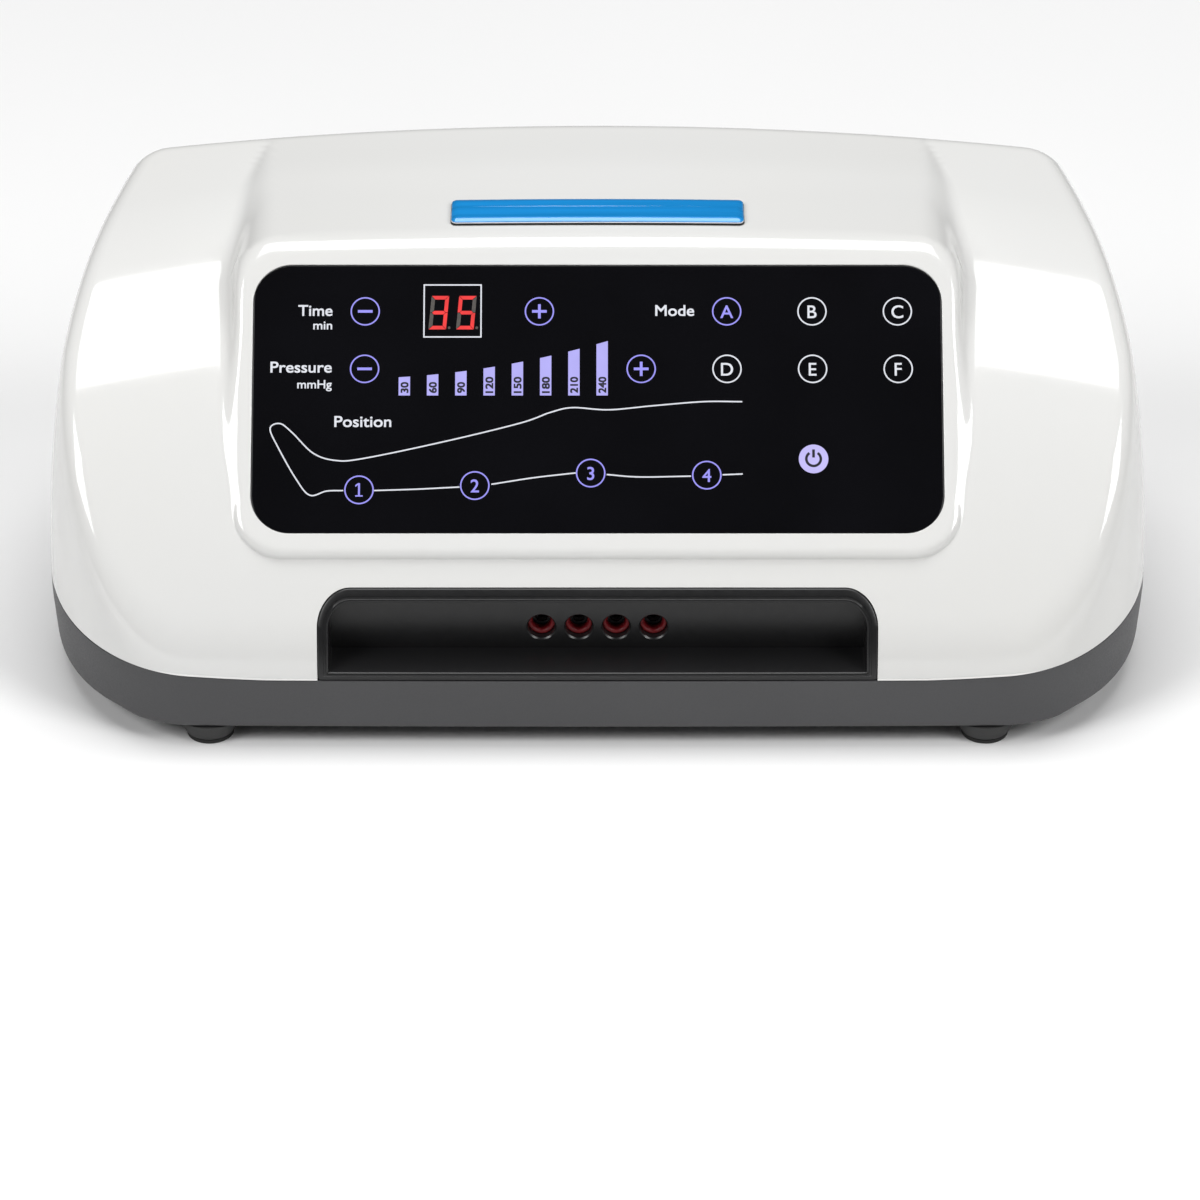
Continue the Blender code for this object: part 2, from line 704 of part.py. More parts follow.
def add_turned(bm, profile, place, axis="Z", steps=ROUND_STEPS):
    """A profile of (radius, height) points spun round an axis. It starts and ends on the axis,
    or it is a closed ring when its first radius isn't zero."""
    own = bmesh.new()
    points = [own.verts.new((radius, 0, height)) for radius, height in profile]
    ring = points + [points[0]] if profile[0][0] > 0 else points
    edges = [own.edges.new(pair) for pair in zip(ring, ring[1:])]
    bmesh.ops.spin(
        own, geom=points + edges, cent=(0, 0, 0), axis=(0, 0, 1), angle=2 * pi, steps=steps
    )
    bmesh.ops.remove_doubles(own, verts=own.verts[:], dist=GAP / 30)
    turns = {
        "Z": Matrix.Identity(4),
        "X": Matrix.Rotation(pi / 2, 4, "Y"),
        "Y": Matrix.Rotation(-pi / 2, 4, "X"),
    }
    own.transform(Matrix.Translation(place) @ turns[axis])
    bmesh.ops.recalc_face_normals(own, faces=own.faces[:])
    spare = bpy.data.meshes.new("spare")
    own.to_mesh(spare)
    own.free()
    bm.from_mesh(spare)
    bpy.data.meshes.remove(spare)


def add_rod(bm, radius, start, length, axis="Z", steps=ROUND_STEPS):
    """A plain cylinder that starts at a point and runs along an axis."""
    profile = ((0, 0), (radius, 0), (radius, length), (0, length))
    add_turned(bm, profile, start, axis, steps)


def add_prism(bm, outline, low, high, plane="XZ"):
    """A flat outline extruded between two levels of the axis that is square to it."""
    rings = []
    for level in (low, high):
        if plane == "XZ":
            rings.append([(x, level, z) for x, z in outline])
        elif plane == "XY":
            rings.append([(x, y, level) for x, y in outline])
        else:
            rings.append([(level, y, z) for y, z in outline])
    loft(bm, rings, closed=False)


def tube_rings(path, radius, steps):
    """Rings of a round tube along a path that stays level in Z."""
    path = np.array(path, float)
    ahead = np.gradient(path, axis=0)
    ahead /= np.linalg.norm(ahead, axis=1)[:, None]
    up = np.array([0.0, 0.0, 1.0])
    side = np.cross(ahead, up)
    angles = np.arange(steps) * 2 * pi / steps
    return [
        point + radius * (np.cos(angles)[:, None] * across + np.sin(angles)[:, None] * up)
        for point, across in zip(path, side)
    ]


def make_hose(name, path):
    """A hose with a bore that slips over the barbs at its two ends."""
    bm = bmesh.new()
    outer = tube_rings(path, HOSE_RADIUS, ROUND_STEPS)
    inner = tube_rings(path, BARB_RADIUS + GAP, ROUND_STEPS)
    loft(bm, outer + inner[::-1], closed=True)
    return add_object(name, bm, "hose_clear")


# Upper housing, glass panel and what lies behind the glass.


def upper_profile():
    """Rings round the upper housing's wall: outside, rim, inside, and the ledge for the glass."""
    offsets = (FRAME_SIDE / 2, FRAME_SIDE - RIM_BLEND / 2, FRAME_SIDE, FRAME_SIDE + RIM_BLEND / 2)
    opening = panel_points(glass_outline(GAP), 0)
    frame = []
    for offset in offsets:
        aimed = aim(panel_points(glass_outline(offset), 0))
        starts = np.tile(STAR_CENTRE, (len(aimed), 1))
        frame.append(solve(starts, aimed, case_field, 0.0, CASE_WIDTH))
    outer_rim = parting_ring(GAP / 2, 0)
    inner_rim = parting_ring(GAP / 2, WALL)
    over_tongue = parting_ring(TONGUE_RISE + GAP, WALL)
    pocket = GLASS_SINK + GLASS_THICKNESS + GAP
    under = pocket + LEDGE_THICKNESS
    root = glass_outline(LEDGE_ROOT)
    lip = glass_outline(-LEDGE_WIDTH)
    root_on_wall = panel_points(root, WALL)
    outside = [opening, *frame, *fan_rings(frame[-1], outer_rim, OUTER_COUNTS, 0), outer_rim]
    inside = [root_on_wall, *fan_rings(root_on_wall, over_tongue, INNER_COUNTS, WALL)]
    inside += [over_tongue, inner_rim]
    ledge = [
        panel_points(root, under),
        panel_points(lip, under),
        panel_points(lip, pocket),
        panel_points(glass_outline(GAP), pocket),
    ]
    return outside + inside[::-1] + ledge


def add_post(bm, x, y):
    """A screw post from the parting line up into the middle of the housing's wall."""
    angles = np.arange(ROUND_STEPS) * 2 * pi / ROUND_STEPS
    ring_x = x + POST_RADIUS * np.cos(angles)
    ring_y = y + POST_RADIUS * np.sin(angles)
    top = height_at(ring_x, ring_y, WALL / 2)
    foot = np.full(ROUND_STEPS, PARTING + GAP / 2)
    middle = (x, y, float(height_at(x, y, WALL / 2)))
    rows = [
        [bm.verts.new(point) for point in zip(ring_x, ring_y, level)] for level in (foot, top)
    ]
    peak = bm.verts.new(middle)
    bm.faces.new(rows[0])
    for i in range(ROUND_STEPS):
        j = (i + 1) % ROUND_STEPS
        bm.faces.new((rows[0][i], rows[0][j], rows[1][j], rows[1][i]))
        bm.faces.new((rows[1][i], rows[1][j], peak))


def screw_places():
    for side in (-1, 1):
        for y in (FRONT + SCREW_FRONT_INSET, REAR - SCREW_REAR_INSET):
            yield side * (HALF_WIDTH - SCREW_SIDE_INSET), y


def foot_places():
    for side in (-1, 1):
        for y in (FRONT + FOOT_FRONT_INSET, REAR - FOOT_REAR_INSET):
            yield side * (HALF_WIDTH - FOOT_SIDE_INSET), y


def bay_outline(side, top, sill, corner):
    """The outlet bay's outline seen from the front, moved in on each side."""
    half = BAY_WIDTH / 2 - side
    low = (-half, PARTING + sill)
    high = (half, PARTING + BAY_HEIGHT - top)
    foot = (BEZEL_BEAD, BEZEL_BEAD)
    head = (corner, corner)
    return rounded_outline(low, high, (foot, foot, head, head), BAY_STEPS)


def rear_face(across, width, height):
    """The flat that a fitting's flange lies on, set into the curved rear wall."""
    reach = abs(across) + width / 2
    top = PARTING + INLET_RISE + height / 2
    return rear_face_at(reach, top) - POCKET_DEPTH


def cut_rear_wall(housing, across, width, height, body_inset):
    """A shallow flat seat for a fitting's flange, and under it the hole for its body."""
    face = rear_face(across, width, height)
    middle = PARTING + INLET_RISE
    for inset, start in ((-GAP, face), (body_inset - GAP, face - 2 * WALL)):
        half_x, half_z = width / 2 - inset, height / 2 - inset
        cutter = bmesh.new()
        low = (across - half_x, start, middle - half_z)
        add_box(cutter, low, (across + half_x, REAR + OVERRUN, middle + half_z))
        combine(housing, helper(cutter))


def make_upper_housing():
    bm = bmesh.new()
    loft(bm, upper_profile(), closed=True)
    housing = add_object("upper_housing", bm, "shell_white")
    posts = bmesh.new()
    for x, y in screw_places():
        add_post(posts, x, y)
    combine(housing, helper(posts), "UNION")
    bay = bmesh.new()
    outline = bay_outline(0, 0, -OVERRUN, BAY_CORNER)
    add_prism(bay, outline, FRONT - OVERRUN, BAY_BACK + OVERRUN)
    combine(housing, helper(bay))
    cut_rear_wall(housing, INLET_ACROSS, INLET_WIDTH, INLET_HEIGHT, INLET_BODY_INSET)
    cut_rear_wall(housing, SWITCH_ACROSS, SWITCH_WIDTH, SWITCH_HEIGHT, SWITCH_BODY_INSET)
    bores = bmesh.new()
    for x, y in screw_places():
        start = (x, y, PARTING - OVERRUN)
        length = OVERRUN + SCREW_BITE + GAP
        add_rod(bores, SCREW_SHANK + SCREW_CLEARANCE, start, length, steps=COARSE_STEPS)
    combine(housing, helper(bores))


def make_panel():
    """The glass, the light guide behind it, the display in its window, and the touch board."""
    bm = bmesh.new()
    edge = GAP
    face = GLASS_SINK
    back = GLASS_SINK + GLASS_THICKNESS
    rings = [
        panel_points(glass_outline(-edge), face),
        panel_points(glass_outline(0), face + edge),
        panel_points(glass_outline(0), back),
    ]
    loft(bm, rings, closed=False)
    add_object("control_panel", bm, "panel_glass")
    inner = glass_outline(-LEDGE_WIDTH - GAP)
    front = back + GAP
    behind = front + LEDGE_THICKNESS
    bm = bmesh.new()
    loft(bm, [panel_points(inner, front), panel_points(inner, behind)], closed=False)
    guide = add_object("light_guide", bm, "light_guide")
    window = display_outline(GAP)
    cutter = bmesh.new()
    levels = (front - OVERRUN, behind + OVERRUN)
    loft(cutter, [panel_points(window, level) for level in levels], closed=False)
    combine(guide, helper(cutter))
    bm = bmesh.new()
    window = display_outline(0)
    loft(bm, [panel_points(window, level) for level in (front, behind)], closed=False)
    add_object("digit_display", bm, "display_dark")
    bm = bmesh.new()
    board = glass_outline(-BOARD_MARGIN)
    levels = (behind + GAP, behind + GAP + BOARD_THICKNESS)
    loft(bm, [panel_points(board, level) for level in levels], closed=False)
    add_object("touch_board", bm, "board_green")


def display_outline(offset):
    """The digit display's outline on the panel's plane."""
    half_x = DISPLAY_WIDTH / 2 + offset
    half_y = DISPLAY_LENGTH / 2 + offset
    return np.array(
        [
            (DISPLAY_ACROSS + i * half_x, DISPLAY_UP + j * half_y)
            for i, j in ((-1, -1), (1, -1), (1, 1), (-1, 1))
        ]
    )


def make_nameplate():
    """A bare domed plate that follows the hood's crown."""
    front = HOOD_EDGE[1] + PLATE_SETBACK
    x, y = np.meshgrid(
        np.linspace(-PLATE_WIDTH / 2, PLATE_WIDTH / 2, PLATE_COLUMNS + 1),
        np.linspace(front, front + PLATE_LENGTH, PLATE_ROWS + 1),
    )
    bottom = height_at(x, y) + GAP
    across = 1 - (2 * x / PLATE_WIDTH) ** 4
    along = 1 - (2 * (y - front) / PLATE_LENGTH - 1) ** 4
    top = bottom + PLATE_THICKNESS + PLATE_DOME * across * along
    bm = bmesh.new()
    layers = [
        [[bm.verts.new(point) for point in zip(*line)] for line in zip(x, y, z)]
        for z in (bottom, top)
    ]
    for layer in layers:
        for near, far in zip(layer, layer[1:]):
            for j in range(PLATE_COLUMNS):
                bm.faces.new((near[j], near[j + 1], far[j + 1], far[j]))
    rims = []
    for layer in layers:
        rim = layer[0] + [line[-1] for line in layer[1:-1]] + layer[-1][::-1]
        rims.append(rim + [line[0] for line in layer[-2:0:-1]])
    for i in range(len(rims[0])):
        j = (i + 1) % len(rims[0])
        bm.faces.new((rims[0][i], rims[0][j], rims[1][j], rims[1][i]))
    add_object("nameplate", bm, "plate_blue")


# Outlet bay: bezel, port plate, seals, manifold and the hoses to the valves.


def port_places():
    for index in range(PORT_COUNT):
        yield (index - (PORT_COUNT - 1) / 2) * PORT_PITCH


def valve_places():
    for index in range(PORT_COUNT):
        yield (index - (PORT_COUNT - 1) / 2) * VALVE_PITCH


def on_front_face(outline, proud):
    """An outline in X and Z carried back in Y to the case's front face."""
    starts = np.column_stack([outline[:, 0], np.zeros(len(outline)), outline[:, 1]])
    starts[:, 1] = BAY_BACK
    ahead = np.tile([0.0, -1.0, 0.0], (len(starts), 1))
    return solve(starts, ahead, case_field, proud, CASE_DEPTH)


def make_bezel():
    """The black frame of the outlet bay, with a small bead round its inner edge."""
    outer = bay_outline(GAP, GAP, GAP, BAY_CORNER - GAP)
    inner = bay_outline(BEZEL_SIDE, BEZEL_TOP, BEZEL_SILL, BAY_CORNER - BEZEL_SIDE)
    bead = bay_outline(
        BEZEL_SIDE - BEZEL_BEAD,
        BEZEL_TOP - BEZEL_BEAD,
        BEZEL_SILL - BEZEL_BEAD,
        BAY_CORNER - BEZEL_TOP,
    )
    rings = [
        on_front_face(outer, BEZEL_PROUD),
        on_front_face(bead, BEZEL_PROUD),
        on_front_face(inner, -BEZEL_BEAD),
    ]
    for outline in (inner, outer):
        back = np.full(len(outline), BAY_BACK)
        rings.append(np.column_stack([outline[:, 0], back, outline[:, 1]]))
    bm = bmesh.new()
    loft(bm, rings, closed=True)
    add_object("outlet_bezel", bm, "bezel_black")


def make_port_plate():
    outline = bay_outline(GAP, GAP, GAP, BAY_CORNER - GAP)
    bm = bmesh.new()
    add_prism(bm, outline, BAY_BACK + GAP, PORT_PLATE_BACK)
    plate = add_object("port_plate", bm, "bezel_black")
    holes = bmesh.new()
    front = BAY_BACK + GAP
    flare = PORT_CHAMFER + OVERRUN
    profile = (
        (0, -OVERRUN),
        (PORT_RADIUS + flare, -OVERRUN),
        (PORT_RADIUS, PORT_CHAMFER),
        (PORT_RADIUS, PORT_PLATE_THICKNESS + OVERRUN),
        (0, PORT_PLATE_THICKNESS + OVERRUN),
    )
    for x in port_places():
        add_turned(holes, profile, (x, front, AIR_AXIS), "Y", FINE_STEPS)
    combine(plate, helper(holes))


def make_seals():
    """Four silicone rings, each with a flared mouth for the hose connector."""
    front = MANIFOLD_FRONT
    profile = (
        (SEAL_BORE + SEAL_LIP, 0),
        (SEAL_RADIUS, 0),
        (SEAL_RADIUS, SEAL_LENGTH),
        (SEAL_BORE, SEAL_LENGTH),
        (SEAL_BORE, SEAL_LIP),
    )
    for number, x in enumerate(port_places(), 1):
        bm = bmesh.new()
        add_turned(bm, profile, (0, 0, 0), "Y", FINE_STEPS)
        seal = add_object(f"outlet_seal_{number}", bm, "seal_red")
        seal.location = (x, front, AIR_AXIS)


def make_manifold():
    """The socket block behind the port plate. Each port runs through to a hose barb."""
    half = (PORT_COUNT - 1) / 2 * PORT_PITCH + MANIFOLD_MARGIN
    bm = bmesh.new()
    add_box(
        bm,
        (-half, MANIFOLD_FRONT, AIR_AXIS - MANIFOLD_HALF_HEIGHT),
        (half, MANIFOLD_BACK, AIR_AXIS + MANIFOLD_HALF_HEIGHT),
    )
    block = add_object("outlet_manifold", bm, "valve_plastic")
    barbs = bmesh.new()
    bores = bmesh.new()
    seat = SEAL_LENGTH + GAP
    end = MANIFOLD_DEPTH + BARB_LENGTH + OVERRUN
    profile = (
        (0, -OVERRUN),
        (SEAL_RADIUS + GAP, -OVERRUN),
        (SEAL_RADIUS + GAP, seat),
        (SEAL_BORE - SEAL_LIP, seat),
        (SEAL_BORE - SEAL_LIP, seat + SEAL_LIP),
        (BORE, seat + 2 * SEAL_LIP),
        (BORE, end),
        (0, end),
    )
    for x in port_places():
        start = (x, MANIFOLD_BACK - OVERRUN, AIR_AXIS)
        add_rod(barbs, BARB_RADIUS, start, OVERRUN + BARB_LENGTH, "Y")
        add_turned(bores, profile, (x, MANIFOLD_FRONT, AIR_AXIS), "Y")
    combine(block, helper(barbs), "UNION")
    combine(block, helper(bores))


def make_outlet_hoses():
    """Straight hoses from the manifold's barbs to the valve block's, which stand opposite."""
    for number, x in enumerate(port_places(), 1):
        start = (x, MANIFOLD_BACK + GAP, AIR_AXIS)
        stop = (x, VALVE_BLOCK_FRONT - GAP, AIR_AXIS)
        make_hose(f"outlet_hose_{number}", [start, stop])


# Valve block, solenoid coils and plungers.


def make_valve_block():
    bm = bmesh.new()
    add_box(
        bm,
        (-VALVE_BLOCK_HALF, VALVE_BLOCK_FRONT, AIR_AXIS - VALVE_BLOCK_HALF_HEIGHT),
        (VALVE_BLOCK_HALF, VALVE_BLOCK_BACK, VALVE_BLOCK_TOP),
    )
    block = add_object("valve_block", bm, "valve_plastic")
    barbs = bmesh.new()
    bores = bmesh.new()
    for x in port_places():
        tip = VALVE_BLOCK_FRONT - BARB_LENGTH
        add_rod(barbs, BARB_RADIUS, (x, tip, AIR_AXIS), BARB_LENGTH + OVERRUN, "Y")
        length = OVERRUN + BARB_LENGTH + VALVE_BLOCK_DEPTH / 4
        add_rod(bores, BORE, (x, tip - OVERRUN, AIR_AXIS), length, "Y", COARSE_STEPS)
    for x in valve_places():
        drop = VALVE_BLOCK_HALF_HEIGHT / 2
        start = (x, VALVE_BLOCK_MIDDLE, VALVE_BLOCK_TOP - drop)
        add_rod(bores, BORE, start, drop + OVERRUN, steps=COARSE_STEPS)
    feed = (-VALVE_BLOCK_HALF - BARB_LENGTH, VALVE_BLOCK_MIDDLE, AIR_AXIS)
    add_rod(barbs, BARB_RADIUS, feed, BARB_LENGTH + OVERRUN, "X")
    link = (link_across(), VALVE_BLOCK_BACK - OVERRUN, AIR_AXIS)
    add_rod(barbs, BARB_RADIUS, link, BARB_LENGTH + OVERRUN, "Y")
    combine(block, helper(barbs), "UNION")
    combine(block, helper(bores))


def link_across():
    """Where the rear pump head's hose comes into the back of the valve block."""
    return -VALVE_BLOCK_HALF + VALVE_BLOCK_END


def make_valves():
    """Four coils with a blind bore below, and a plunger in each that lifts off its seat."""
    half = COIL_SIDE / 2
    bottom = VALVE_BLOCK_TOP + GAP
    for number, x in enumerate(valve_places(), 1):
        bm = bmesh.new()
        y = VALVE_BLOCK_MIDDLE
        low = (x - half, y - half, bottom)
        high = (x + half, y + half, bottom + COIL_HEIGHT)
        add_box(bm, low, high, COIL_EDGE)
        coil = add_object(f"solenoid_coil_{number}", bm, "switch_black")
        bore = bmesh.new()
        depth = GAP + PLUNGER_LENGTH + PLUNGER_TRAVEL
        start = (x, y, bottom - OVERRUN)
        add_rod(bore, PLUNGER_RADIUS + GAP, start, OVERRUN + depth + GAP)
        combine(coil, helper(bore))
        bm = bmesh.new()
        profile = (
            (0, 0),
            (PLUNGER_RADIUS - PLUNGER_NOSE, 0),
            (PLUNGER_RADIUS, PLUNGER_NOSE),
            (PLUNGER_RADIUS, PLUNGER_LENGTH),
            (0, PLUNGER_LENGTH),
        )
        add_turned(bm, profile, (0, 0, 0), "Z")
        plunger = add_object(f"valve_plunger_{number}", bm, "screw_steel")
        plunger.location = (x, y, bottom)


# Linear diaphragm pump.


def make_pump_frame():
    """A base plate, an end wall for each diaphragm, and pads under the two cores."""
    half = PUMP_WIDTH / 2
    low_y = PUMP_BAY_FRONT - PUMP_WALL_THICKNESS
    high_y = PUMP_BAY_FRONT + PUMP_BAY_LENGTH + PUMP_WALL_THICKNESS
    bm = bmesh.new()
    left, right = PUMP_ACROSS - half, PUMP_ACROSS + half
    add_box(bm, (left, low_y, PUMP_BASE_BOTTOM), (right, high_y, PUMP_BASE_TOP))
    frame = add_object("pump_frame", bm, "frame_alloy")
    sunk = PUMP_BASE_TOP - PUMP_BASE_THICKNESS / 2
    for wall_y in (low_y, high_y - PUMP_WALL_THICKNESS):
        wall = bmesh.new()
        high = (right, wall_y + PUMP_WALL_THICKNESS, AIR_AXIS + PUMP_WALL_RISE)
        add_box(wall, (left, wall_y, sunk), high)
        combine(frame, helper(wall), "UNION")
    pad_half = CORE_LENGTH / 2
    pad_top = AIR_AXIS - CORE_STACK / 2 - GAP
    for side in (-1, 1):
        outer = PUMP_ACROSS + side * CORE_HALF_WIDTH
        inner = outer - side * (CORE_SPINE - GAP)
        pad = bmesh.new()
        low = (min(outer, inner), PUMP_MIDDLE - pad_half, sunk)
        add_box(pad, low, (max(outer, inner), PUMP_MIDDLE + pad_half, pad_top))
        combine(frame, helper(pad), "UNION")
    window = bmesh.new()
    start = (PUMP_ACROSS, low_y - OVERRUN, AIR_AXIS)
    add_rod(window, WALL_WINDOW_RADIUS, start, high_y - low_y + 2 * OVERRUN, "Y", FINE_STEPS)
    combine(frame, helper(window))


def core_outline(side):
    """An E seen from above, its three legs pointing at the armature."""
    tip = MAGNET_WIDTH / 2 + AIR_GAP
    root = tip + CORE_LEG
    spine = root + CORE_SPINE
    end = CORE_LENGTH / 2
    leg = CORE_LEG_WIDTH
    points = [(spine, -end), (spine, end), (tip, end), (tip, end - leg), (root, end - leg)]
    points += [(root, leg / 2), (tip, leg / 2), (tip, -leg / 2), (root, -leg / 2)]
    points += [(root, leg - end), (tip, leg - end), (tip, -end)]
    return [(PUMP_ACROSS + side * x, PUMP_MIDDLE + y) for x, y in points]


def make_electromagnets():
    half_stack = CORE_STACK / 2
    for name, side in (("left", -1), ("right", 1)):
        bm = bmesh.new()
        add_prism(bm, core_outline(side), AIR_AXIS - half_stack, AIR_AXIS + half_stack, "XY")
        add_object(f"magnet_core_{name}", bm, "core_steel")
        tip = MAGNET_WIDTH / 2 + AIR_GAP
        root = tip + CORE_LEG - GAP
        start, stop = sorted(
            (PUMP_ACROSS + side * root, PUMP_ACROSS + side * (root - WINDING_LENGTH))
        )
        inner = winding_outline(GAP, GAP)
        outer = winding_outline(GAP + WINDING_WALL, WINDING_EDGE)
        levels = ((start, outer), (stop, outer), (stop, inner), (start, inner))
        rings = [[(x, y, z) for y, z in outline] for x, outline in levels]
        bm = bmesh.new()
        loft(bm, rings, closed=True)
        add_object(f"winding_{name}", bm, "winding_copper")


def winding_outline(offset, edge):
    """A rectangle with cut corners, this far outside the core's middle leg."""
    half_y, half_z = CORE_LEG_WIDTH / 2 + offset, CORE_STACK / 2 + offset
    low = (PUMP_MIDDLE - half_y, AIR_AXIS - half_z)
    high = (PUMP_MIDDLE + half_y, AIR_AXIS + half_z)
    return rounded_outline(low, high, even_corners(edge), CHAMFERED_STEPS)


def make_armature():
    """A magnet bar on a rod, with a piston disc at each end in its diaphragm."""
    bm = bmesh.new()
    half_magnet = MAGNET_LENGTH / 2
    disc_end = PUMP_BAY_LENGTH / 2 + PUMP_WALL_THICKNESS + GAP + DIAPHRAGM_THICKNESS / 2
    disc_near = disc_end - PISTON_THICKNESS / 2
    disc_far = disc_end + PISTON_THICKNESS / 2
    profile = (
        (0, -disc_far),
        (PISTON_RADIUS, -disc_far),
        (PISTON_RADIUS, -disc_near),
        (ROD_RADIUS, -disc_near),
        (ROD_RADIUS, disc_near),
        (PISTON_RADIUS, disc_near),
        (PISTON_RADIUS, disc_far),
        (0, disc_far),
    )
    add_turned(bm, profile, (0, 0, 0), "Y")
    armature = add_object("armature", bm, "screw_steel")
    armature.location = (PUMP_ACROSS, PUMP_MIDDLE, AIR_AXIS)
    bar = bmesh.new()
    half = Vector((MAGNET_WIDTH / 2, half_magnet, MAGNET_HEIGHT / 2))
    add_box(bar, -half, half)
    magnet = helper(bar)
    magnet.parent = armature
    combine(armature, magnet, "UNION")


def make_pump_ends():
    """At each end a rubber diaphragm and a head with an outlet barb."""
    wall_face = PUMP_BAY_LENGTH / 2 + PUMP_WALL_THICKNESS + GAP
    half = HEAD_SIDE / 2
    for name, side in (("front", -1), ("rear", 1)):
        rim = PUMP_MIDDLE + side * wall_face
        start = min(rim, rim + side * DIAPHRAGM_THICKNESS)
        inner = PISTON_RADIUS + PISTON_CLEARANCE
        profile = (
            (inner, 0),
            (DIAPHRAGM_RADIUS, 0),
            (DIAPHRAGM_RADIUS, DIAPHRAGM_THICKNESS),
            (inner, DIAPHRAGM_THICKNESS),
        )
        bm = bmesh.new()
        add_turned(bm, profile, (PUMP_ACROSS, start, AIR_AXIS), "Y", FINE_STEPS)
        add_object(f"diaphragm_{name}", bm, "rubber_black")
        face = rim + side * (DIAPHRAGM_THICKNESS + GAP)
        end = face + side * HEAD_DEPTH
        low = (PUMP_ACROSS - half, min(face, end), AIR_AXIS - half)
        bm = bmesh.new()
        add_box(bm, low, (PUMP_ACROSS + half, max(face, end), AIR_AXIS + half), HEAD_EDGE)
        head = add_object(f"pump_head_{name}", bm, "valve_plastic")
        barb = bmesh.new()
        start = (PUMP_ACROSS + half - OVERRUN, (face + end) / 2, AIR_AXIS)
        add_rod(barb, BARB_RADIUS, start, OVERRUN + BARB_LENGTH, "X")
        combine(head, helper(barb), "UNION")
        cavity = bmesh.new()
        start = min(face + side * HEAD_CAVITY_DEPTH, face - side * OVERRUN)
        radius = DIAPHRAGM_RADIUS - DIAPHRAGM_THICKNESS - GAP
        length = HEAD_CAVITY_DEPTH + OVERRUN
        add_rod(cavity, radius, (PUMP_ACROSS, start, AIR_AXIS), length, "Y", FINE_STEPS)
        combine(head, helper(cavity))


def make_pump_hoses():
    """The front head feeds the block's left end, and the rear head its back."""
    start_x = PUMP_ACROSS + HEAD_SIDE / 2 + GAP
    stop_x = -VALVE_BLOCK_HALF - GAP
    ends = [(x, VALVE_BLOCK_MIDDLE, AIR_AXIS) for x in (start_x, stop_x)]
    make_hose("feed_hose", ends)
    rear_y = PUMP_BACK - HEAD_DEPTH / 2
    corner = (link_across(), rear_y)
    radius = min(LINK_HOSE_REACH, corner[0] - start_x - BARB_LENGTH)
    path = [(start_x, rear_y), (start_x + BARB_LENGTH, rear_y)]
    for angle in np.linspace(pi / 2, 0, BEND_STEPS + 1):
        x = corner[0] - radius + radius * cos(angle)
        path.append((x, corner[1] - radius + radius * sin(angle)))
    end_y = VALVE_BLOCK_BACK + GAP
    path += [(corner[0], end_y + BARB_LENGTH), (corner[0], end_y)]
    make_hose("link_hose", [(x, y, AIR_AXIS) for x, y in path])


def pump_mount_places():
    half_x = PUMP_WIDTH / 2 - MOUNT_INSET
    half_y = PUMP_BAY_LENGTH / 2 + PUMP_WALL_THICKNESS - MOUNT_INSET
    for i in (-1, 1):
        for j in (-1, 1):
            yield PUMP_ACROSS + i * half_x, PUMP_MIDDLE + j * half_y


def make_pump_mounts():
    """Four waisted rubber blocks between the floor and the pump's base plate."""
    bottom = FLOOR + GAP
    height = PUMP_BASE_BOTTOM - GAP - bottom
    profile = (
        (0, 0),
        (MOUNT_RADIUS, 0),
        (MOUNT_RADIUS, height / 4),
        (MOUNT_WAIST, height / 2),
        (MOUNT_RADIUS, height - height / 4),
        (MOUNT_RADIUS, height),
        (0, height),
    )
    for number, (x, y) in enumerate(pump_mount_places(), 1):
        bm = bmesh.new()
        add_turned(bm, profile, (0, 0, 0), "Z", COARSE_STEPS)
        mount = add_object(f"pump_mount_{number}", bm, "rubber_black")
        mount.location = (x, y, bottom)


# Electronics.


def board_corners():
    half_x = MAIN_BOARD_WIDTH / 2 - STANDOFF_INSET
    half_y = MAIN_BOARD_LENGTH / 2 - STANDOFF_INSET
    for i in (-1, 1):
        for j in (-1, 1):
            yield MAIN_BOARD_ACROSS + i * half_x, FRONT + MAIN_BOARD_BACK + j * half_y


def make_main_board():
    """The control board, with two capacitors, two relays, a chip and a plug header on it."""
    x, y = MAIN_BOARD_ACROSS, FRONT + MAIN_BOARD_BACK
    half_x, half_y = MAIN_BOARD_WIDTH / 2, MAIN_BOARD_LENGTH / 2
    bottom = FLOOR + STANDOFF_HEIGHT + GAP
    top = bottom + BOARD_THICKNESS
    foot = top - SOLDER_SINK
    bm = bmesh.new()
    add_box(bm, (x - half_x, y - half_y, bottom), (x + half_x, y + half_y, top))
    board = add_object("main_board", bm, "board_green")
    parts = bmesh.new()
    for i in (-1, 1):
        left = x - half_x + PART_SPACE
        place = (left + CAPACITOR_RADIUS, y + i * CAPACITOR_PITCH / 2, foot)
        add_rod(parts, CAPACITOR_RADIUS, place, SOLDER_SINK + CAPACITOR_HEIGHT)
        right = x + half_x - PART_SPACE + (i - 1) / 2 * (RELAY_WIDTH + PART_SPACE)
        low = (right - RELAY_WIDTH, y + half_y / 4, foot)
        add_box(parts, low, (right, low[1] + RELAY_LENGTH, top + RELAY_HEIGHT))
    low = (x + half_x / 4, y - half_y / 2, foot)
    add_box(parts, low, (low[0] + CHIP_SIDE, low[1] + CHIP_SIDE, top + CHIP_HEIGHT))
    low = (x - HEADER_WIDTH / 2, y - half_y + HEADER_DEPTH / 2, foot)
    add_box(parts, low, (low[0] + HEADER_WIDTH, low[1] + HEADER_DEPTH, top + HEADER_HEIGHT))
    combine(board, helper(parts), "UNION")


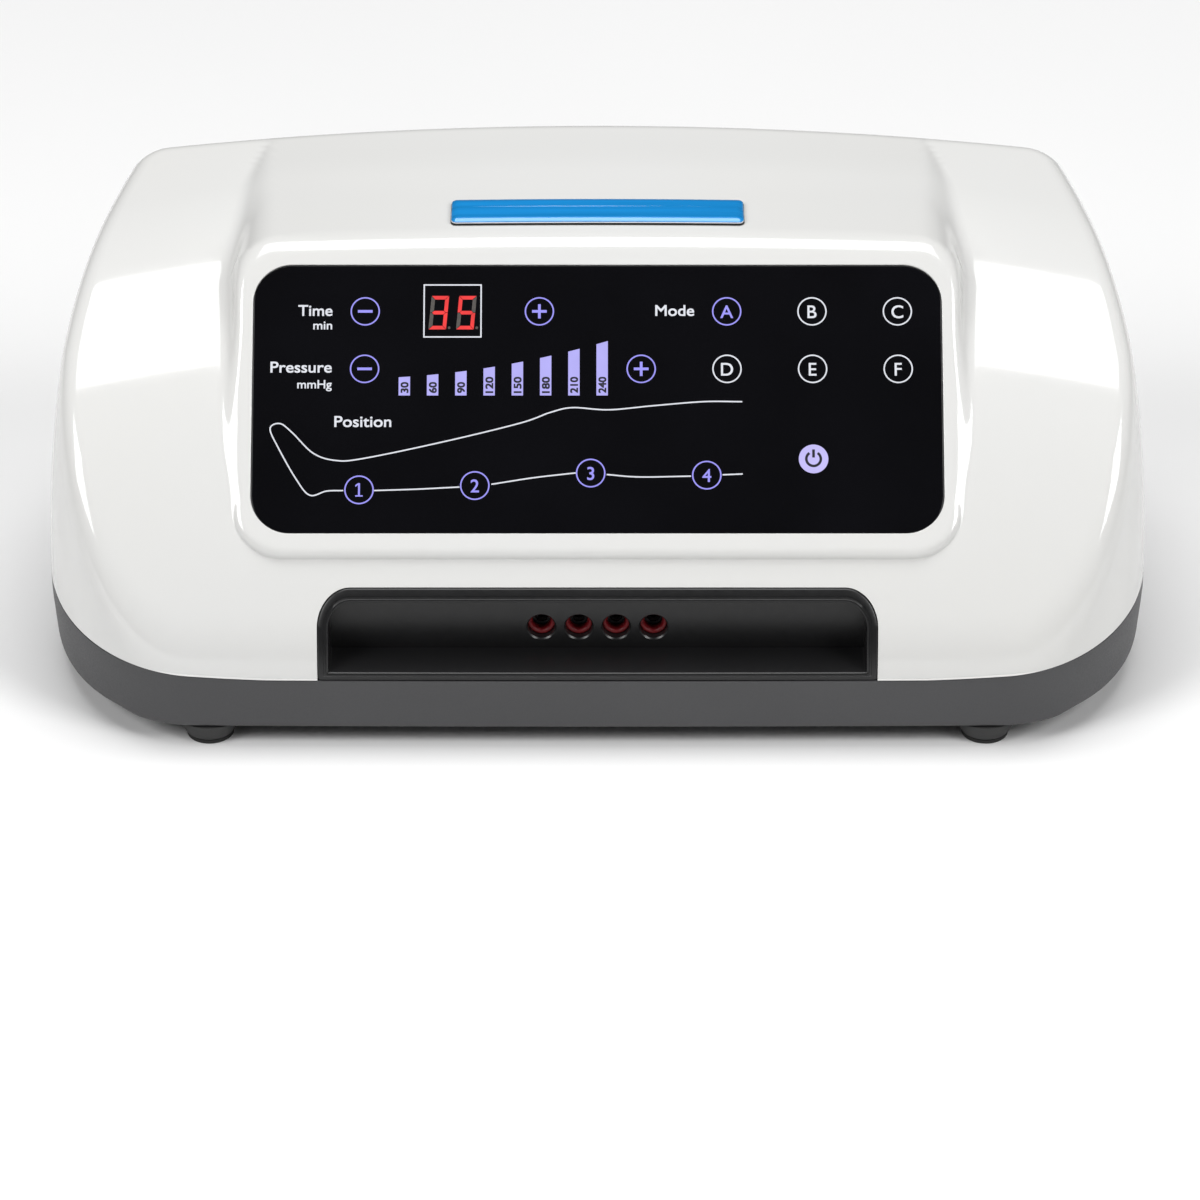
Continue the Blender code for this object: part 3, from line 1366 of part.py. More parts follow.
def make_transformer():
    """A laminated yoke round a wound bobbin, standing on the floor."""
    x, y = TRANSFORMER_ACROSS, TRANSFORMER_BACK
    half_x, half_y = TRANSFORMER_WIDTH / 2, TRANSFORMER_LENGTH / 2
    bottom = FLOOR + GAP
    top = bottom + TRANSFORMER_HEIGHT
    quarter = TRANSFORMER_LENGTH / 4
    bm = bmesh.new()
    add_box(bm, (x - half_x, y - quarter, bottom), (x + half_x, y + quarter, top))
    body = add_object("transformer", bm, "core_steel")
    bobbin = bmesh.new()
    inner = half_x - TRANSFORMER_YOKE
    low = (x - inner, y - half_y, bottom + TRANSFORMER_YOKE)
    add_box(bobbin, low, (x + inner, y + half_y, top - TRANSFORMER_YOKE), TRANSFORMER_EDGE)
    combine(body, helper(bobbin), "UNION")


# Mains inlet and switch.


def inlet_outline(width, height, chamfer):
    """A rectangle with its two top corners cut off, centred on the inlet."""
    half_x, half_z = width / 2, height / 2
    middle = PARTING + INLET_RISE
    points = [(-half_x, -half_z), (half_x, -half_z), (half_x, half_z - chamfer)]
    points += [(half_x - chamfer, half_z), (chamfer - half_x, half_z), (-half_x, half_z - chamfer)]
    return [(INLET_ACROSS + x, middle + z) for x, z in points]


def make_inlet():
    """A three-pin mains inlet, its body through the rear wall and its flange outside."""
    face = rear_face(INLET_ACROSS, INLET_WIDTH, INLET_HEIGHT) + GAP
    middle = PARTING + INLET_RISE
    half_x, half_z = INLET_WIDTH / 2, INLET_HEIGHT / 2
    front = face + INLET_FLANGE
    bm = bmesh.new()
    add_box(
        bm,
        (INLET_ACROSS - half_x, face, middle - half_z),
        (INLET_ACROSS + half_x, front, middle + half_z),
    )
    inlet = add_object("inlet_socket", bm, "switch_black")
    body = bmesh.new()
    body_x, body_z = half_x - INLET_BODY_INSET, half_z - INLET_BODY_INSET
    add_box(
        body,
        (INLET_ACROSS - body_x, front - INLET_DEPTH, middle - body_z),
        (INLET_ACROSS + body_x, front - INLET_FLANGE / 2, middle + body_z),
    )
    combine(inlet, helper(body), "UNION")
    cavity = bmesh.new()
    width = 2 * (body_x - INLET_RIM)
    height = 2 * (body_z - INLET_RIM)
    outline = inlet_outline(width, height, INLET_CHAMFER)
    floor = front - INLET_CAVITY_DEPTH
    add_prism(cavity, outline, floor, front + OVERRUN)
    combine(inlet, helper(cavity))
    pins = bmesh.new()
    for x, z in ((-PIN_PITCH, -PIN_HEIGHT / 4), (0, PIN_HEIGHT / 2), (PIN_PITCH, -PIN_HEIGHT / 4)):
        low = (INLET_ACROSS + x - PIN_WIDTH / 2, floor - INLET_RIM / 2, middle + z - PIN_HEIGHT / 2)
        high = (low[0] + PIN_WIDTH, front - PIN_CLEAR, low[2] + PIN_HEIGHT)
        add_box(pins, low, high)
    combine(inlet, helper(pins), "UNION")


def switch_face():
    return rear_face(SWITCH_ACROSS, SWITCH_WIDTH, SWITCH_HEIGHT) + GAP


def make_switch():
    """The switch's frame, and a rocker in it that is tipped to its on side."""
    face = switch_face()
    front = face + INLET_FLANGE
    middle = PARTING + INLET_RISE
    half_x, half_z = SWITCH_WIDTH / 2, SWITCH_HEIGHT / 2
    bm = bmesh.new()
    add_box(
        bm,
        (SWITCH_ACROSS - half_x, face, middle - half_z),
        (SWITCH_ACROSS + half_x, front, middle + half_z),
    )
    frame = add_object("rocker_frame", bm, "switch_black")
    body_x, body_z = half_x - SWITCH_BODY_INSET, half_z - SWITCH_BODY_INSET
    body = bmesh.new()
    add_box(
        body,
        (SWITCH_ACROSS - body_x, front - SWITCH_DEPTH, middle - body_z),
        (SWITCH_ACROSS + body_x, front - INLET_FLANGE / 2, middle + body_z),
    )
    combine(frame, helper(body), "UNION")
    well_x, well_z = body_x - SWITCH_WALL, body_z - SWITCH_WALL
    well = bmesh.new()
    add_box(
        well,
        (SWITCH_ACROSS - well_x, front - SWITCH_DEPTH + SWITCH_WALL, middle - well_z),
        (SWITCH_ACROSS + well_x, front + OVERRUN, middle + well_z),
    )
    combine(frame, helper(well))
    bm = bmesh.new()
    outline = rocker_outline(well_z - ROCKER_SWING_CLEARANCE)
    half = well_x - GAP
    rings = [[(level, y, z) for y, z in outline] for level in (-half, half)]
    loft(bm, rings, closed=False)
    rocker = add_object("mains_rocker", bm, "switch_black")
    rocker.location = (SWITCH_ACROSS, front - ROCKER_PIVOT_DEPTH, middle)
    rocker.rotation_euler = (ROCKER_TILT, 0, 0)


def rocker_outline(reach):
    """Side view about the pivot: a shallow V outside, round ends, and a round back inside."""
    rise = (ROCKER_PIVOT_DEPTH + ROCKER_PROUD + reach * sin(ROCKER_TILT)) / cos(ROCKER_TILT)
    edge = (reach**2 - rise**2) ** 0.5
    lead = np.arctan2(edge, rise)
    half_turn = np.linspace(0, pi, BEND_STEPS + 1)[1:-1]
    end = [(reach * cos(angle), reach * sin(angle)) for angle in (lead, pi / 2)]
    back = [(-ROCKER_BACK * sin(angle), reach * cos(angle)) for angle in half_turn]
    other_end = [(y, -z) for y, z in end[::-1]]
    return [(rise - edge * tan(ROCKER_TILT), 0), *end, *back, *other_end]


# Feet, pads and case screws.


def make_feet():
    top = BASE_UNDERSIDE - GAP
    bottom = PAD_THICKNESS + GAP
    height = top - bottom
    floor = FLOOR + GAP - bottom
    profile = (
        (0, 0),
        (FOOT_BOTTOM_RADIUS, 0),
        (FOOT_MIDDLE_RADIUS, height / 2),
        (FOOT_TOP_RADIUS, height),
        (FOOT_SPIGOT_RADIUS, height),
        (FOOT_SPIGOT_RADIUS, floor),
        (FOOT_HEAD_RADIUS, floor),
        (FOOT_SPIGOT_RADIUS, floor + FOOT_HEAD_HEIGHT),
        (0, floor + FOOT_HEAD_HEIGHT),
    )
    pad_profile = (
        (0, 0),
        (PAD_RADIUS - PAD_EDGE, 0),
        (PAD_RADIUS, PAD_EDGE),
        (PAD_RADIUS, PAD_THICKNESS),
        (0, PAD_THICKNESS),
    )
    for number, (x, y) in enumerate(foot_places(), 1):
        bm = bmesh.new()
        add_turned(bm, profile, (0, 0, 0), "Z")
        foot = add_object(f"foot_{number}", bm, "foot_grey")
        foot.location = (x, y, bottom)
        bm = bmesh.new()
        add_turned(bm, pad_profile, (0, 0, 0), "Z")
        pad = add_object(f"foot_pad_{number}", bm, "rubber_black")
        pad.location = (x, y, 0)


def make_screws():
    """Four case screws, driven up from recesses in the base."""
    under_head = BASE_UNDERSIDE + SCREW_RECESS - GAP
    length = PARTING + SCREW_BITE - under_head
    profile = (
        (0, -SCREW_HEAD_HEIGHT),
        (SCREW_HEAD_RADIUS, -SCREW_HEAD_HEIGHT),
        (SCREW_HEAD_RADIUS, 0),
        (SCREW_SHANK, 0),
        (SCREW_SHANK, length - SCREW_SHANK),
        (0, length),
    )
    for number, (x, y) in enumerate(screw_places(), 1):
        bm = bmesh.new()
        add_turned(bm, profile, (0, 0, 0), "Z", COARSE_STEPS)
        screw = add_object(f"case_screw_{number}", bm, "screw_steel")
        screw.location = (x, y, under_head)
        slots = bmesh.new()
        for half_x, half_y in (
            (SCREW_HEAD_RADIUS / 2, SCREW_SLOT_WIDTH / 2),
            (SCREW_SLOT_WIDTH / 2, SCREW_HEAD_RADIUS / 2),
        ):
            low = (-half_x, -half_y, -SCREW_HEAD_HEIGHT - OVERRUN)
            add_box(slots, low, (half_x, half_y, SCREW_SLOT_DEPTH - SCREW_HEAD_HEIGHT))
            slot = helper(slots)
            slot.parent = screw
            combine(screw, slot)
            slots = bmesh.new()
        slots.free()


# Lower housing.


def grip_rise(x):
    """The underside lifts near the ends, where hands go under to lift the case."""
    start = HALF_WIDTH - GRIP_SIDE - GRIP_RAMP
    return GRIP_RISE * fade(np.abs(x), start, GRIP_RAMP)


def underside_ring(inset, limit, level):
    """A ring of the floor: the base's outline moved in, and cut short at each side."""
    ring = plan_ring(BASE_UNDERSIDE, inset)
    limit = limit or CASE_WIDTH
    ring[:, 0] = np.clip(ring[:, 0], -limit, limit)
    ring[:, 2] = level + grip_rise(ring[:, 0])
    return ring


def lower_profile():
    """Rings from the middle of the underside out, up the wall, and back over the floor."""
    rim = -GAP / 2
    ramp_end = HALF_WIDTH - GRIP_SIDE
    ramp_start = ramp_end - GRIP_RAMP
    below = BASE_UNDERSIDE
    outside = [
        underside_ring(RAMP_START_INSET, ramp_start, below),
        underside_ring(RAMP_END_INSET, ramp_end, below),
        underside_ring(BASE_EDGE, None, below),
    ]
    low_edge = plan_ring(below + BASE_EDGE, 0)
    low_edge[:, 2] += grip_rise(low_edge[:, 0])
    outside += [low_edge, parting_ring(rim, 0)]
    tongue_out = WALL + GAP
    tongue_in = tongue_out + TONGUE_WALL
    inside = [
        parting_ring(rim, tongue_out),
        parting_ring(TONGUE_RISE, tongue_out),
        parting_ring(TONGUE_RISE, tongue_in),
        parting_ring(rim - TONGUE_WALL, tongue_in),
        parting_ring(rim - TONGUE_ROOT, WALL),
    ]
    foot = plan_ring(FLOOR + BASE_EDGE / 2, WALL)
    foot[:, 2] += grip_rise(foot[:, 0])
    inside += [
        foot,
        underside_ring(WALL + BASE_EDGE / 2, None, FLOOR),
        underside_ring(RAMP_END_INSET, ramp_end, FLOOR),
        underside_ring(RAMP_START_INSET, ramp_start, FLOOR),
    ]
    return outside + inside


def support_places():
    """Standoffs under the manifold, the valve block and the main board, with their heights."""
    under_manifold = AIR_AXIS - MANIFOLD_HALF_HEIGHT - GAP
    under_block = AIR_AXIS - VALVE_BLOCK_HALF_HEIGHT - GAP
    half = (PORT_COUNT - 1) / 2 * PORT_PITCH
    for side in (-1, 1):
        yield side * half, (MANIFOLD_FRONT + MANIFOLD_BACK) / 2, under_manifold
        yield side * (VALVE_BLOCK_HALF - VALVE_BLOCK_END), VALVE_BLOCK_MIDDLE, under_block
    for x, y in board_corners():
        yield x, y, FLOOR + STANDOFF_HEIGHT


def make_lower_housing():
    bm = bmesh.new()
    loft(bm, lower_profile(), closed=False)
    housing = add_object("lower_housing", bm, "base_grey")
    sunk = FLOOR - FLOOR_THICKNESS / 2
    supports = bmesh.new()
    for x, y, top in support_places():
        add_rod(supports, STANDOFF_RADIUS, (x, y, sunk), top - sunk, steps=COARSE_STEPS)
    for x, y in screw_places():
        add_rod(supports, TUBE_RADIUS, (x, y, sunk), PARTING - GAP / 2 - sunk)
    combine(housing, helper(supports), "UNION")
    holes = bmesh.new()
    bore = SCREW_SHANK + SCREW_CLEARANCE
    wide = SCREW_HEAD_RADIUS + SCREW_CLEARANCE
    profile = (
        (0, -OVERRUN),
        (wide, -OVERRUN),
        (wide, SCREW_RECESS),
        (bore, SCREW_RECESS),
        (bore, BASE_DEPTH + OVERRUN),
        (0, BASE_DEPTH + OVERRUN),
    )
    for x, y in screw_places():
        add_turned(holes, profile, (x, y, BASE_UNDERSIDE))
    for x, y in foot_places():
        start = (x, y, BASE_UNDERSIDE - OVERRUN)
        add_rod(holes, FOOT_SPIGOT_RADIUS + GAP, start, FLOOR_THICKNESS + 2 * OVERRUN)
    combine(housing, helper(holes))
    notch = bmesh.new()
    half = BAY_WIDTH / 2 + GAP
    low = (-half, FRONT - OVERRUN, PARTING - GAP / 2)
    add_box(notch, low, (half, PORT_PLATE_BACK + GAP, PARTING + TONGUE_RISE + OVERRUN))
    combine(housing, helper(notch))
    vents = bmesh.new()
    for index in range(VENT_COUNT):
        x = PUMP_ACROSS + (index - (VENT_COUNT - 1) / 2) * VENT_PITCH
        low = (x - VENT_WIDTH / 2, PUMP_MIDDLE - VENT_LENGTH / 2, BASE_UNDERSIDE - OVERRUN)
        add_box(vents, low, (x + VENT_WIDTH / 2, PUMP_MIDDLE + VENT_LENGTH / 2, FLOOR + OVERRUN))
    combine(housing, helper(vents))


def main():
    clear_scene()
    make_lower_housing()
    make_upper_housing()
    make_panel()
    make_nameplate()
    make_bezel()
    make_port_plate()
    make_seals()
    make_manifold()
    make_outlet_hoses()
    make_valve_block()
    make_valves()
    make_pump_frame()
    make_electromagnets()
    make_armature()
    make_pump_ends()
    make_pump_hoses()
    make_pump_mounts()
    make_main_board()
    make_transformer()
    make_inlet()
    make_switch()
    make_feet()
    make_screws()


main()
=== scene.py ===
"""Looks of a compression therapy pump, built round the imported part.

Metres, +Z up, in the part's own frame: X runs along the front, and the front faces -Y.
Each operator makes one piece, or one group of like pieces, from sizes that the part holds.
"""

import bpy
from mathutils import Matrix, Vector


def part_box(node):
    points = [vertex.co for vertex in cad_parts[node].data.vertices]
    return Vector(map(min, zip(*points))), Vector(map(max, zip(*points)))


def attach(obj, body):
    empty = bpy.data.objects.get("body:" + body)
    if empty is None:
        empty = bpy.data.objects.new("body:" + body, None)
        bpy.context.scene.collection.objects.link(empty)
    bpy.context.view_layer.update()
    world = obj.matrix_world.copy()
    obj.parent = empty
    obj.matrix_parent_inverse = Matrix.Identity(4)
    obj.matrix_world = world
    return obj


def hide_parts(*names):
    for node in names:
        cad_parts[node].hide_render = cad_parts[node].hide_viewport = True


bl_info = {
    "name": "Compression therapy pump",
    "version": (1, 0, 0),
    "blender": (4, 5, 0),
    "location": "3D View > Sidebar > Pump",
    "description": "Housing, touch panel, outlet bay and fittings of a compression therapy pump",
    "category": "Object",
}

from math import cos, pi, radians, sin, tan

import bmesh
import bpy
import numpy as np
from bpy.props import FloatProperty, FloatVectorProperty, IntProperty, PointerProperty, StringProperty
from bpy.types import Operator, Panel, PropertyGroup

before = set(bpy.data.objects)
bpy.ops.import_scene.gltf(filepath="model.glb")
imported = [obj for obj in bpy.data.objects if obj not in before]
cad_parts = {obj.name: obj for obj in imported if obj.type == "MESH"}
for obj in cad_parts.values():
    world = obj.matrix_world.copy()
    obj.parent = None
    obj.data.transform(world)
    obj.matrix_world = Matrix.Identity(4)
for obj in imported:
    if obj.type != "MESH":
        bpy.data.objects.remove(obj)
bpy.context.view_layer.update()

GAP = 0.0003
OVERRUN = 0.005
BISECTIONS = 34
SMOOTH_ANGLE = radians(32)
FACING_LIMIT = cos(radians(24))

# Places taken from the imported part.
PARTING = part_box("upper_housing")[0].z - GAP / 2
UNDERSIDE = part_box("lower_housing")[0].z
BEZEL_LOW, BEZEL_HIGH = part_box("outlet_bezel")
PLATE_LOW, PLATE_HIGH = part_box("port_plate")
INLET_LOW, INLET_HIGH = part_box("inlet_socket")
SWITCH_LOW, SWITCH_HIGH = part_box("rocker_frame")
TAG_LOW, TAG_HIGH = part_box("nameplate")


# Sizes and colours that a user would change.


def length(name, description, default):
    return FloatProperty(
        name=name, description=description, default=default, precision=5, unit="LENGTH"
    )


def slope(name, description, degrees):
    return FloatProperty(
        name=name, description=description, default=radians(degrees), subtype="ANGLE"
    )


def share(name, description, default):
    return FloatProperty(name=name, description=description, default=default, min=0, max=1)


def colour(name, description, default):
    return FloatVectorProperty(
        name=name, description=description, default=default, size=3, min=0, max=1, subtype="COLOR"
    )


class PumpCaseSizes(PropertyGroup):
    """The case at its parting line, its walls, front, hood and flanks."""

    width: length("Width", "Across the parting line", 0.404)
    depth: length("Depth", "Front to back at the parting line", 0.194)
    wall: length("Wall", "Thickness of both mouldings", 0.003)
    base_depth: length("Base depth", "Height of the grey lower housing", 0.0212)
    corner_across: length("Front corner across", "Corner arc along the front", 0.0557)
    corner_back: length("Front corner back", "Corner arc along the side", 0.0768)
    rear_corner: length("Rear corner", "Radius of the rear corners", 0.0105)
    widest_back: length("Widest at", "How far back the sides start to close in", 0.0741)
    side_taper: length("Side taper", "How far each side closes in at the rear", 0.0197)
    side_lean: length("Side lean", "How far each side leans in at the top", 0.0174)
    front_bow: length("Front bow", "How far the front curves back at its ends", 0.0008)
    rear_bow: length("Rear bow", "How far the rear curves forward at its ends", 0.0022)
    rear_lean: share("Rear lean", "Part of the side lean that the rear wall has", 0.57)
    wall_edge: length("Wall edge", "Rounding between the walls and the top", 0.007)
    rise: length("Parting rise", "How far the parting line rises at the ends", 0.0066)
    rise_start: length("Rise start", "From the middle to where that rise starts", 0.117)
    lip: length("Lip", "Upright band at the foot of the front", 0.007)
    front_slope: slope("Front slope", "Slope of the face with the outlets", 60)
    hood_slope: slope("Hood slope", "Slope of the hood's top", 4)
    hood_rear_inset: length("Hood end", "From the hood's end to the rear wall", 0.0124)
    hood_taper: slope("Hood taper", "How the hood's sides close in backwards", 12)
    hood_lean: slope("Hood lean", "How the hood's sides lean in", 11)
    hood_corner: length("Hood corner", "Edge radius at the hood's front", 0.015)
    hood_corner_rear: length("Hood corner rear", "Edge radius at the hood's end", 0.005)
    hood_side_edge: length("Hood side edge", "Rounding that joins the hood's edges", 0.003)
    crown: length("Crown", "How far the top falls towards the sides", 0.014)
    crown_front: share("Crown at the front", "Part of it over the panel", 0.25)
    flank_slope: slope("Flank slope", "Slope beside the panel", 44.8)
    flank_top: slope("Flank top", "Slope of the flanks behind the panel", 8)
    flank_setback: length("Flank setback", "How far the flanks lie behind the panel", 0.00035)
    flank_chin: length("Flank chin", "Rounding at the foot of the flanks", 0.010)
    flank_shoulder: length("Flank shoulder", "Rounding at the top of the flanks", 0.036)
    rim: length("Rim", "Rounding of the ridge round the panel", 0.004)
    root: length("Root", "Fillet at the hood's foot", 0.0054)
    root_fade: length("Root fade", "Length over which that fillet dies out", 0.035)


class PumpGlassSizes(PropertyGroup):
    """The touch glass and the white band round it."""

    slope: slope("Panel slope", "Slope of the glass", 46)
    width: length("Glass width", "Across the glass", 0.2482)
    length: length("Glass length", "Up the slope", 0.0993)
    corner: length("Glass corner", "Corner radius", 0.014)
    thickness: length("Glass thickness", "Thickness", 0.0025)
    sink: length("Glass sink", "How deep the glass lies in the band", 0.0005)
    low_back: length("Glass foot back", "From the front to the glass's lower edge", 0.0247)
    low_up: length("Glass foot up", "From the parting line to the lower edge", 0.0472)
    band_side: length("Band side", "White band at each side", 0.0074)
    band_top: length("Band top", "White band above the glass", 0.0102)
    band_foot: length("Band foot", "White band below the glass", 0.009)
    band_corner: length("Band corner", "Corner radius of the band's ridge", 0.020)
    ledge: length("Ledge", "Width of the ledge under the glass", 0.005)
    ledge_thickness: length("Ledge thickness", "Thickness of that ledge", 0.004)


class PumpOutletSizes(PropertyGroup):
    """The outlet bay in the front."""

    bay_height: length("Bay height", "From the parting line to the bay's top", 0.0305)
    corner: length("Bay corner", "Radius of the two upper corners", 0.012)
    side: length("Bezel side", "Width of the bezel at each side", 0.0041)
    top: length("Bezel top", "Width of the bezel above", 0.0046)
    sill: length("Bezel sill", "Height of the sill below", 0.003)
    bead: length("Bezel bead", "Width of the rounded inner edge", 0.0008)
    proud: length("Bezel proud", "How far the bezel stands out", 0.0003)
    hole: length("Hole radius", "Radius of each outlet", 0.0049)
    chamfer: length("Hole chamfer", "Chamfer round each outlet", 0.0005)
    seal_bore: length("Seal bore", "Radius inside each seal", 0.0032)


class PumpPanelMarks(PropertyGroup):
    """What is printed and lit on the glass."""

    ring: length("Ring radius", "Middle of the stroke of a touch ring", 0.00505)
    stroke: length("Ring stroke", "Width of that stroke", 0.0005)
    sign: length("Sign arm", "Length of the plus and minus signs", 0.0053)
    sign_stroke: length("Sign stroke", "Width of their strokes", 0.00098)
    line: length("Line", "Width of the limb line", 0.0005)
    label: length("Label height", "Height of a capital in the larger labels", 0.0042)
    small_label: length("Unit height", "Height of a capital in the units", 0.00324)
    letter: length("Letter height", "Height of the letters in the rings", 0.00495)
    digit: length("Digit height", "Height of the red digits", 0.0125)
    minutes: IntProperty(name="Minutes", description="Number shown in red", default=35, max=99)
    layer: length("Print layer", "Height of a printed layer over the glass", 0.00003)


class PumpColours(PropertyGroup):
    """Colours of the finishes."""

    shell: colour("Shell", "Gloss white moulding", (0.7, 0.7, 0.69))
    base: colour("Base", "Grey lower housing", (0.052, 0.052, 0.055))
    glass: colour("Glass", "Black touch glass", (0.0022, 0.0022, 0.003))
    lit: colour("Lit marks", "Lilac lit marks", (0.36, 0.335, 1.0))
    # The print's colour, which also gives its painted glow.
    ink: colour("Print", "White print", (0.74, 0.76, 0.82))
    led: colour("Digits", "Red digits", (1.0, 0.05, 0.05))
    tag: colour("Nameplate", "Blue nameplate", (0.0, 0.24, 0.62))
    seal: colour("Seals", "Dark red silicone", (0.2, 0.008, 0.012))
    bay: colour("Bay", "Black bezel and port plate", (0.008, 0.008, 0.0085))


class PumpStudio(PropertyGroup):
    """Camera, lights and floor."""

    elevation: slope("Camera elevation", "How far the camera looks down", 32)
    lens: FloatProperty(
        name="Lens", description="Focal length", default=150, unit="CAMERA", subtype="DISTANCE_CAMERA"
    )
    across: length("Camera across", "Camera's place in X", 0.0009)
    back: length("Camera back", "Camera's place in Y", -1.5995)
    height: length("Camera height", "Camera's place in Z", 1.0028)
    floor: length("Floor", "Side of the floor", 30.0)
    sky: FloatProperty(name="Sky", description="Brightness all round", default=0.07, min=0)
    overhead: FloatProperty(name="Overhead", description="Power", default=70, unit="POWER")
    side_light: FloatProperty(name="Side lights", description="Power", default=56, unit="POWER")


def settings(name):
    return getattr(bpy.context.scene, "pump_" + name)


# Skins: points with quads between them, and flat faces that close an end.


class Skin:
    """Points, quads as rows of four indices, and wider flat faces as index arrays."""

    def __init__(self, points, quads=None, caps=()):
        self.points = np.asarray(points, float).reshape(-1, 3)
        self.quads = np.zeros((0, 4), int) if quads is None else quads
        self.caps = list(caps)


def joined(skins):
    """One skin from several: the indices of each are moved past the points before it."""
    starts = np.cumsum([0] + [len(skin.points) for skin in skins])
    points = np.concatenate([skin.points for skin in skins])
    quads = np.concatenate([skin.quads + start for skin, start in zip(skins, starts)])
    caps = [cap + start for skin, start in zip(skins, starts) for cap in skin.caps]
    return Skin(points, quads, caps)


def grid(points, closed_rows=False, closed_columns=True, cap_first=False, cap_last=False):
    """A skin over an array of points (row, column): each quad joins two columns of two rows.

    A closed direction joins its last line to its first, and a cap is the whole of one row.
    """
    rows, columns = points.shape[:2]
    row = np.arange(rows if closed_rows else rows - 1)
    column = np.arange(columns if closed_columns else columns - 1)
    i, j = np.meshgrid(row, column, indexing="ij")
    i_next, j_next = (i + 1) % rows, (j + 1) % columns
    corners = (i * columns + j, i * columns + j_next, i_next * columns + j_next, i_next * columns + j)
    quads = np.stack(corners, axis=-1).reshape(-1, 4)
    caps = []
    if cap_first:
        caps.append(np.arange(columns)[::-1])
    if cap_last:
        caps.append(np.arange(columns) + (rows - 1) * columns)
    return Skin(points.reshape(-1, 3), quads, caps)


def turned(profile, place, axis="Z", steps=64, closed=True):
    """A profile of (radius, height) spun round an axis.

    The point at angle a is radius times (cos a, sin a) across the axis, and height along it.
    Unless it is closed in itself, the profile's two ends are capped.
    """
    profile = np.array(profile, float)
    angle = np.arange(steps) * 2 * pi / steps
    radius, height = profile[:, :1], np.repeat(profile[:, 1:], steps, axis=1)
    across, aside = radius * np.cos(angle), radius * np.sin(angle)
    if axis == "Z":
        points = np.stack([across, aside, height], axis=-1)
    else:
        points = np.stack([across, height, aside], axis=-1)
    return grid(points + np.array(place), closed, True, not closed, not closed)


def rounded(first, corner, last, radius, steps=4):
    """Points of an arc that rounds a corner between two straight edges, all in (u, v).

    The arc is taken as a quadratic curve: (1-t)^2 start + 2t(1-t) corner + t^2 end.
    """
    first, corner, last = (np.array(point, float) for point in (first, corner, last))
    start = corner + (first - corner) * min(radius / np.linalg.norm(first - corner), 0.5)
    end = corner + (last - corner) * min(radius / np.linalg.norm(last - corner), 0.5)
    t = np.linspace(0, 1, steps + 1)[:, None]
    return (1 - t) ** 2 * start + 2 * t * (1 - t) * corner + t**2 * end


def eased(profile, radius, closed=False, steps=4):
    """A profile with every inner corner rounded, and the end points kept unless it is closed."""
    count = len(profile)
    inner = range(count) if closed else range(1, count - 1)
    arcs = [
        rounded(profile[i - 1], profile[i], profile[(i + 1) % count], radius, steps) for i in inner
    ]
    if closed:
        return np.concatenate(arcs)
    return np.concatenate([[profile[0]], *arcs, [profile[-1]]])


def mesh_from(name, skin):
    """A mesh filled from a skin's arrays."""
    mesh = bpy.data.meshes.new(name)
    sizes = np.concatenate([np.full(len(skin.quads), 4), [len(cap) for cap in skin.caps]])
    corners = np.concatenate([skin.quads.ravel(), *skin.caps]).astype(np.int32)
    mesh.vertices.add(len(skin.points))
    mesh.vertices.foreach_set("co", skin.points.astype(np.float32).ravel())
    mesh.loops.add(len(corners))
    mesh.loops.foreach_set("vertex_index", corners)
    mesh.polygons.add(len(sizes))
    starts = np.concatenate([[0], np.cumsum(sizes)[:-1]]).astype(np.int32)
    mesh.polygons.foreach_set("loop_start", starts)
    mesh.update(calc_edges=True)
    mesh.validate()
    return mesh


def face_outward(mesh):
    body = bmesh.new()
    body.from_mesh(mesh)
    bmesh.ops.recalc_face_normals(body, faces=body.faces[:])
    body.to_mesh(mesh)
    body.free()


def add_piece(name, skin, finish, body="console", closed=True):
    """A piece from a skin. A closed one is turned to face outwards."""
    mesh = mesh_from(name, skin)
    if closed:
        face_outward(mesh)
    mesh.shade_smooth()
    mesh.set_sharp_from_angle(angle=SMOOTH_ANGLE)
    mesh.materials.append(finish)
    piece = bpy.data.objects.new(name, mesh)
    bpy.context.scene.collection.objects.link(piece)
    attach(piece, body)
    return piece


def cut_away(piece, cutter):
    """Takes a skin's volume out of a piece, and keeps the result as the piece's own mesh."""
    tool_mesh = mesh_from("cutter", cutter)
    face_outward(tool_mesh)
    tool = bpy.data.objects.new("cutter", tool_mesh)
    bpy.context.scene.collection.objects.link(tool)
    cut = piece.modifiers.new("cut", "BOOLEAN")
    cut.operation = "DIFFERENCE"
    cut.solver = "EXACT"
    cut.object = tool
    graph = bpy.context.evaluated_depsgraph_get()
    result = bpy.data.meshes.new_from_object(piece.evaluated_get(graph))
    piece.modifiers.clear()
    old = piece.data
    piece.data = result
    result.name = piece.name
    bpy.data.meshes.remove(old)
    bpy.data.objects.remove(tool)
    bpy.data.meshes.remove(tool_mesh)
    result.shade_smooth()
    result.set_sharp_from_angle(angle=SMOOTH_ANGLE)


def block(low, high):
    """A box as a skin of two four-cornered rows, for cutters."""
    (x0, y0, z0), (x1, y1, z1) = low, high
    corner_x = np.array([x0, x1, x1, x0])
    corner_y = np.array([y0, y0, y1, y1])
    rows = [np.stack([corner_x, corner_y, np.full(4, z)], axis=-1) for z in (z0, z1)]
    return grid(np.array(rows), cap_first=True, cap_last=True)


# Outlines, anticlockwise from the low left corner.


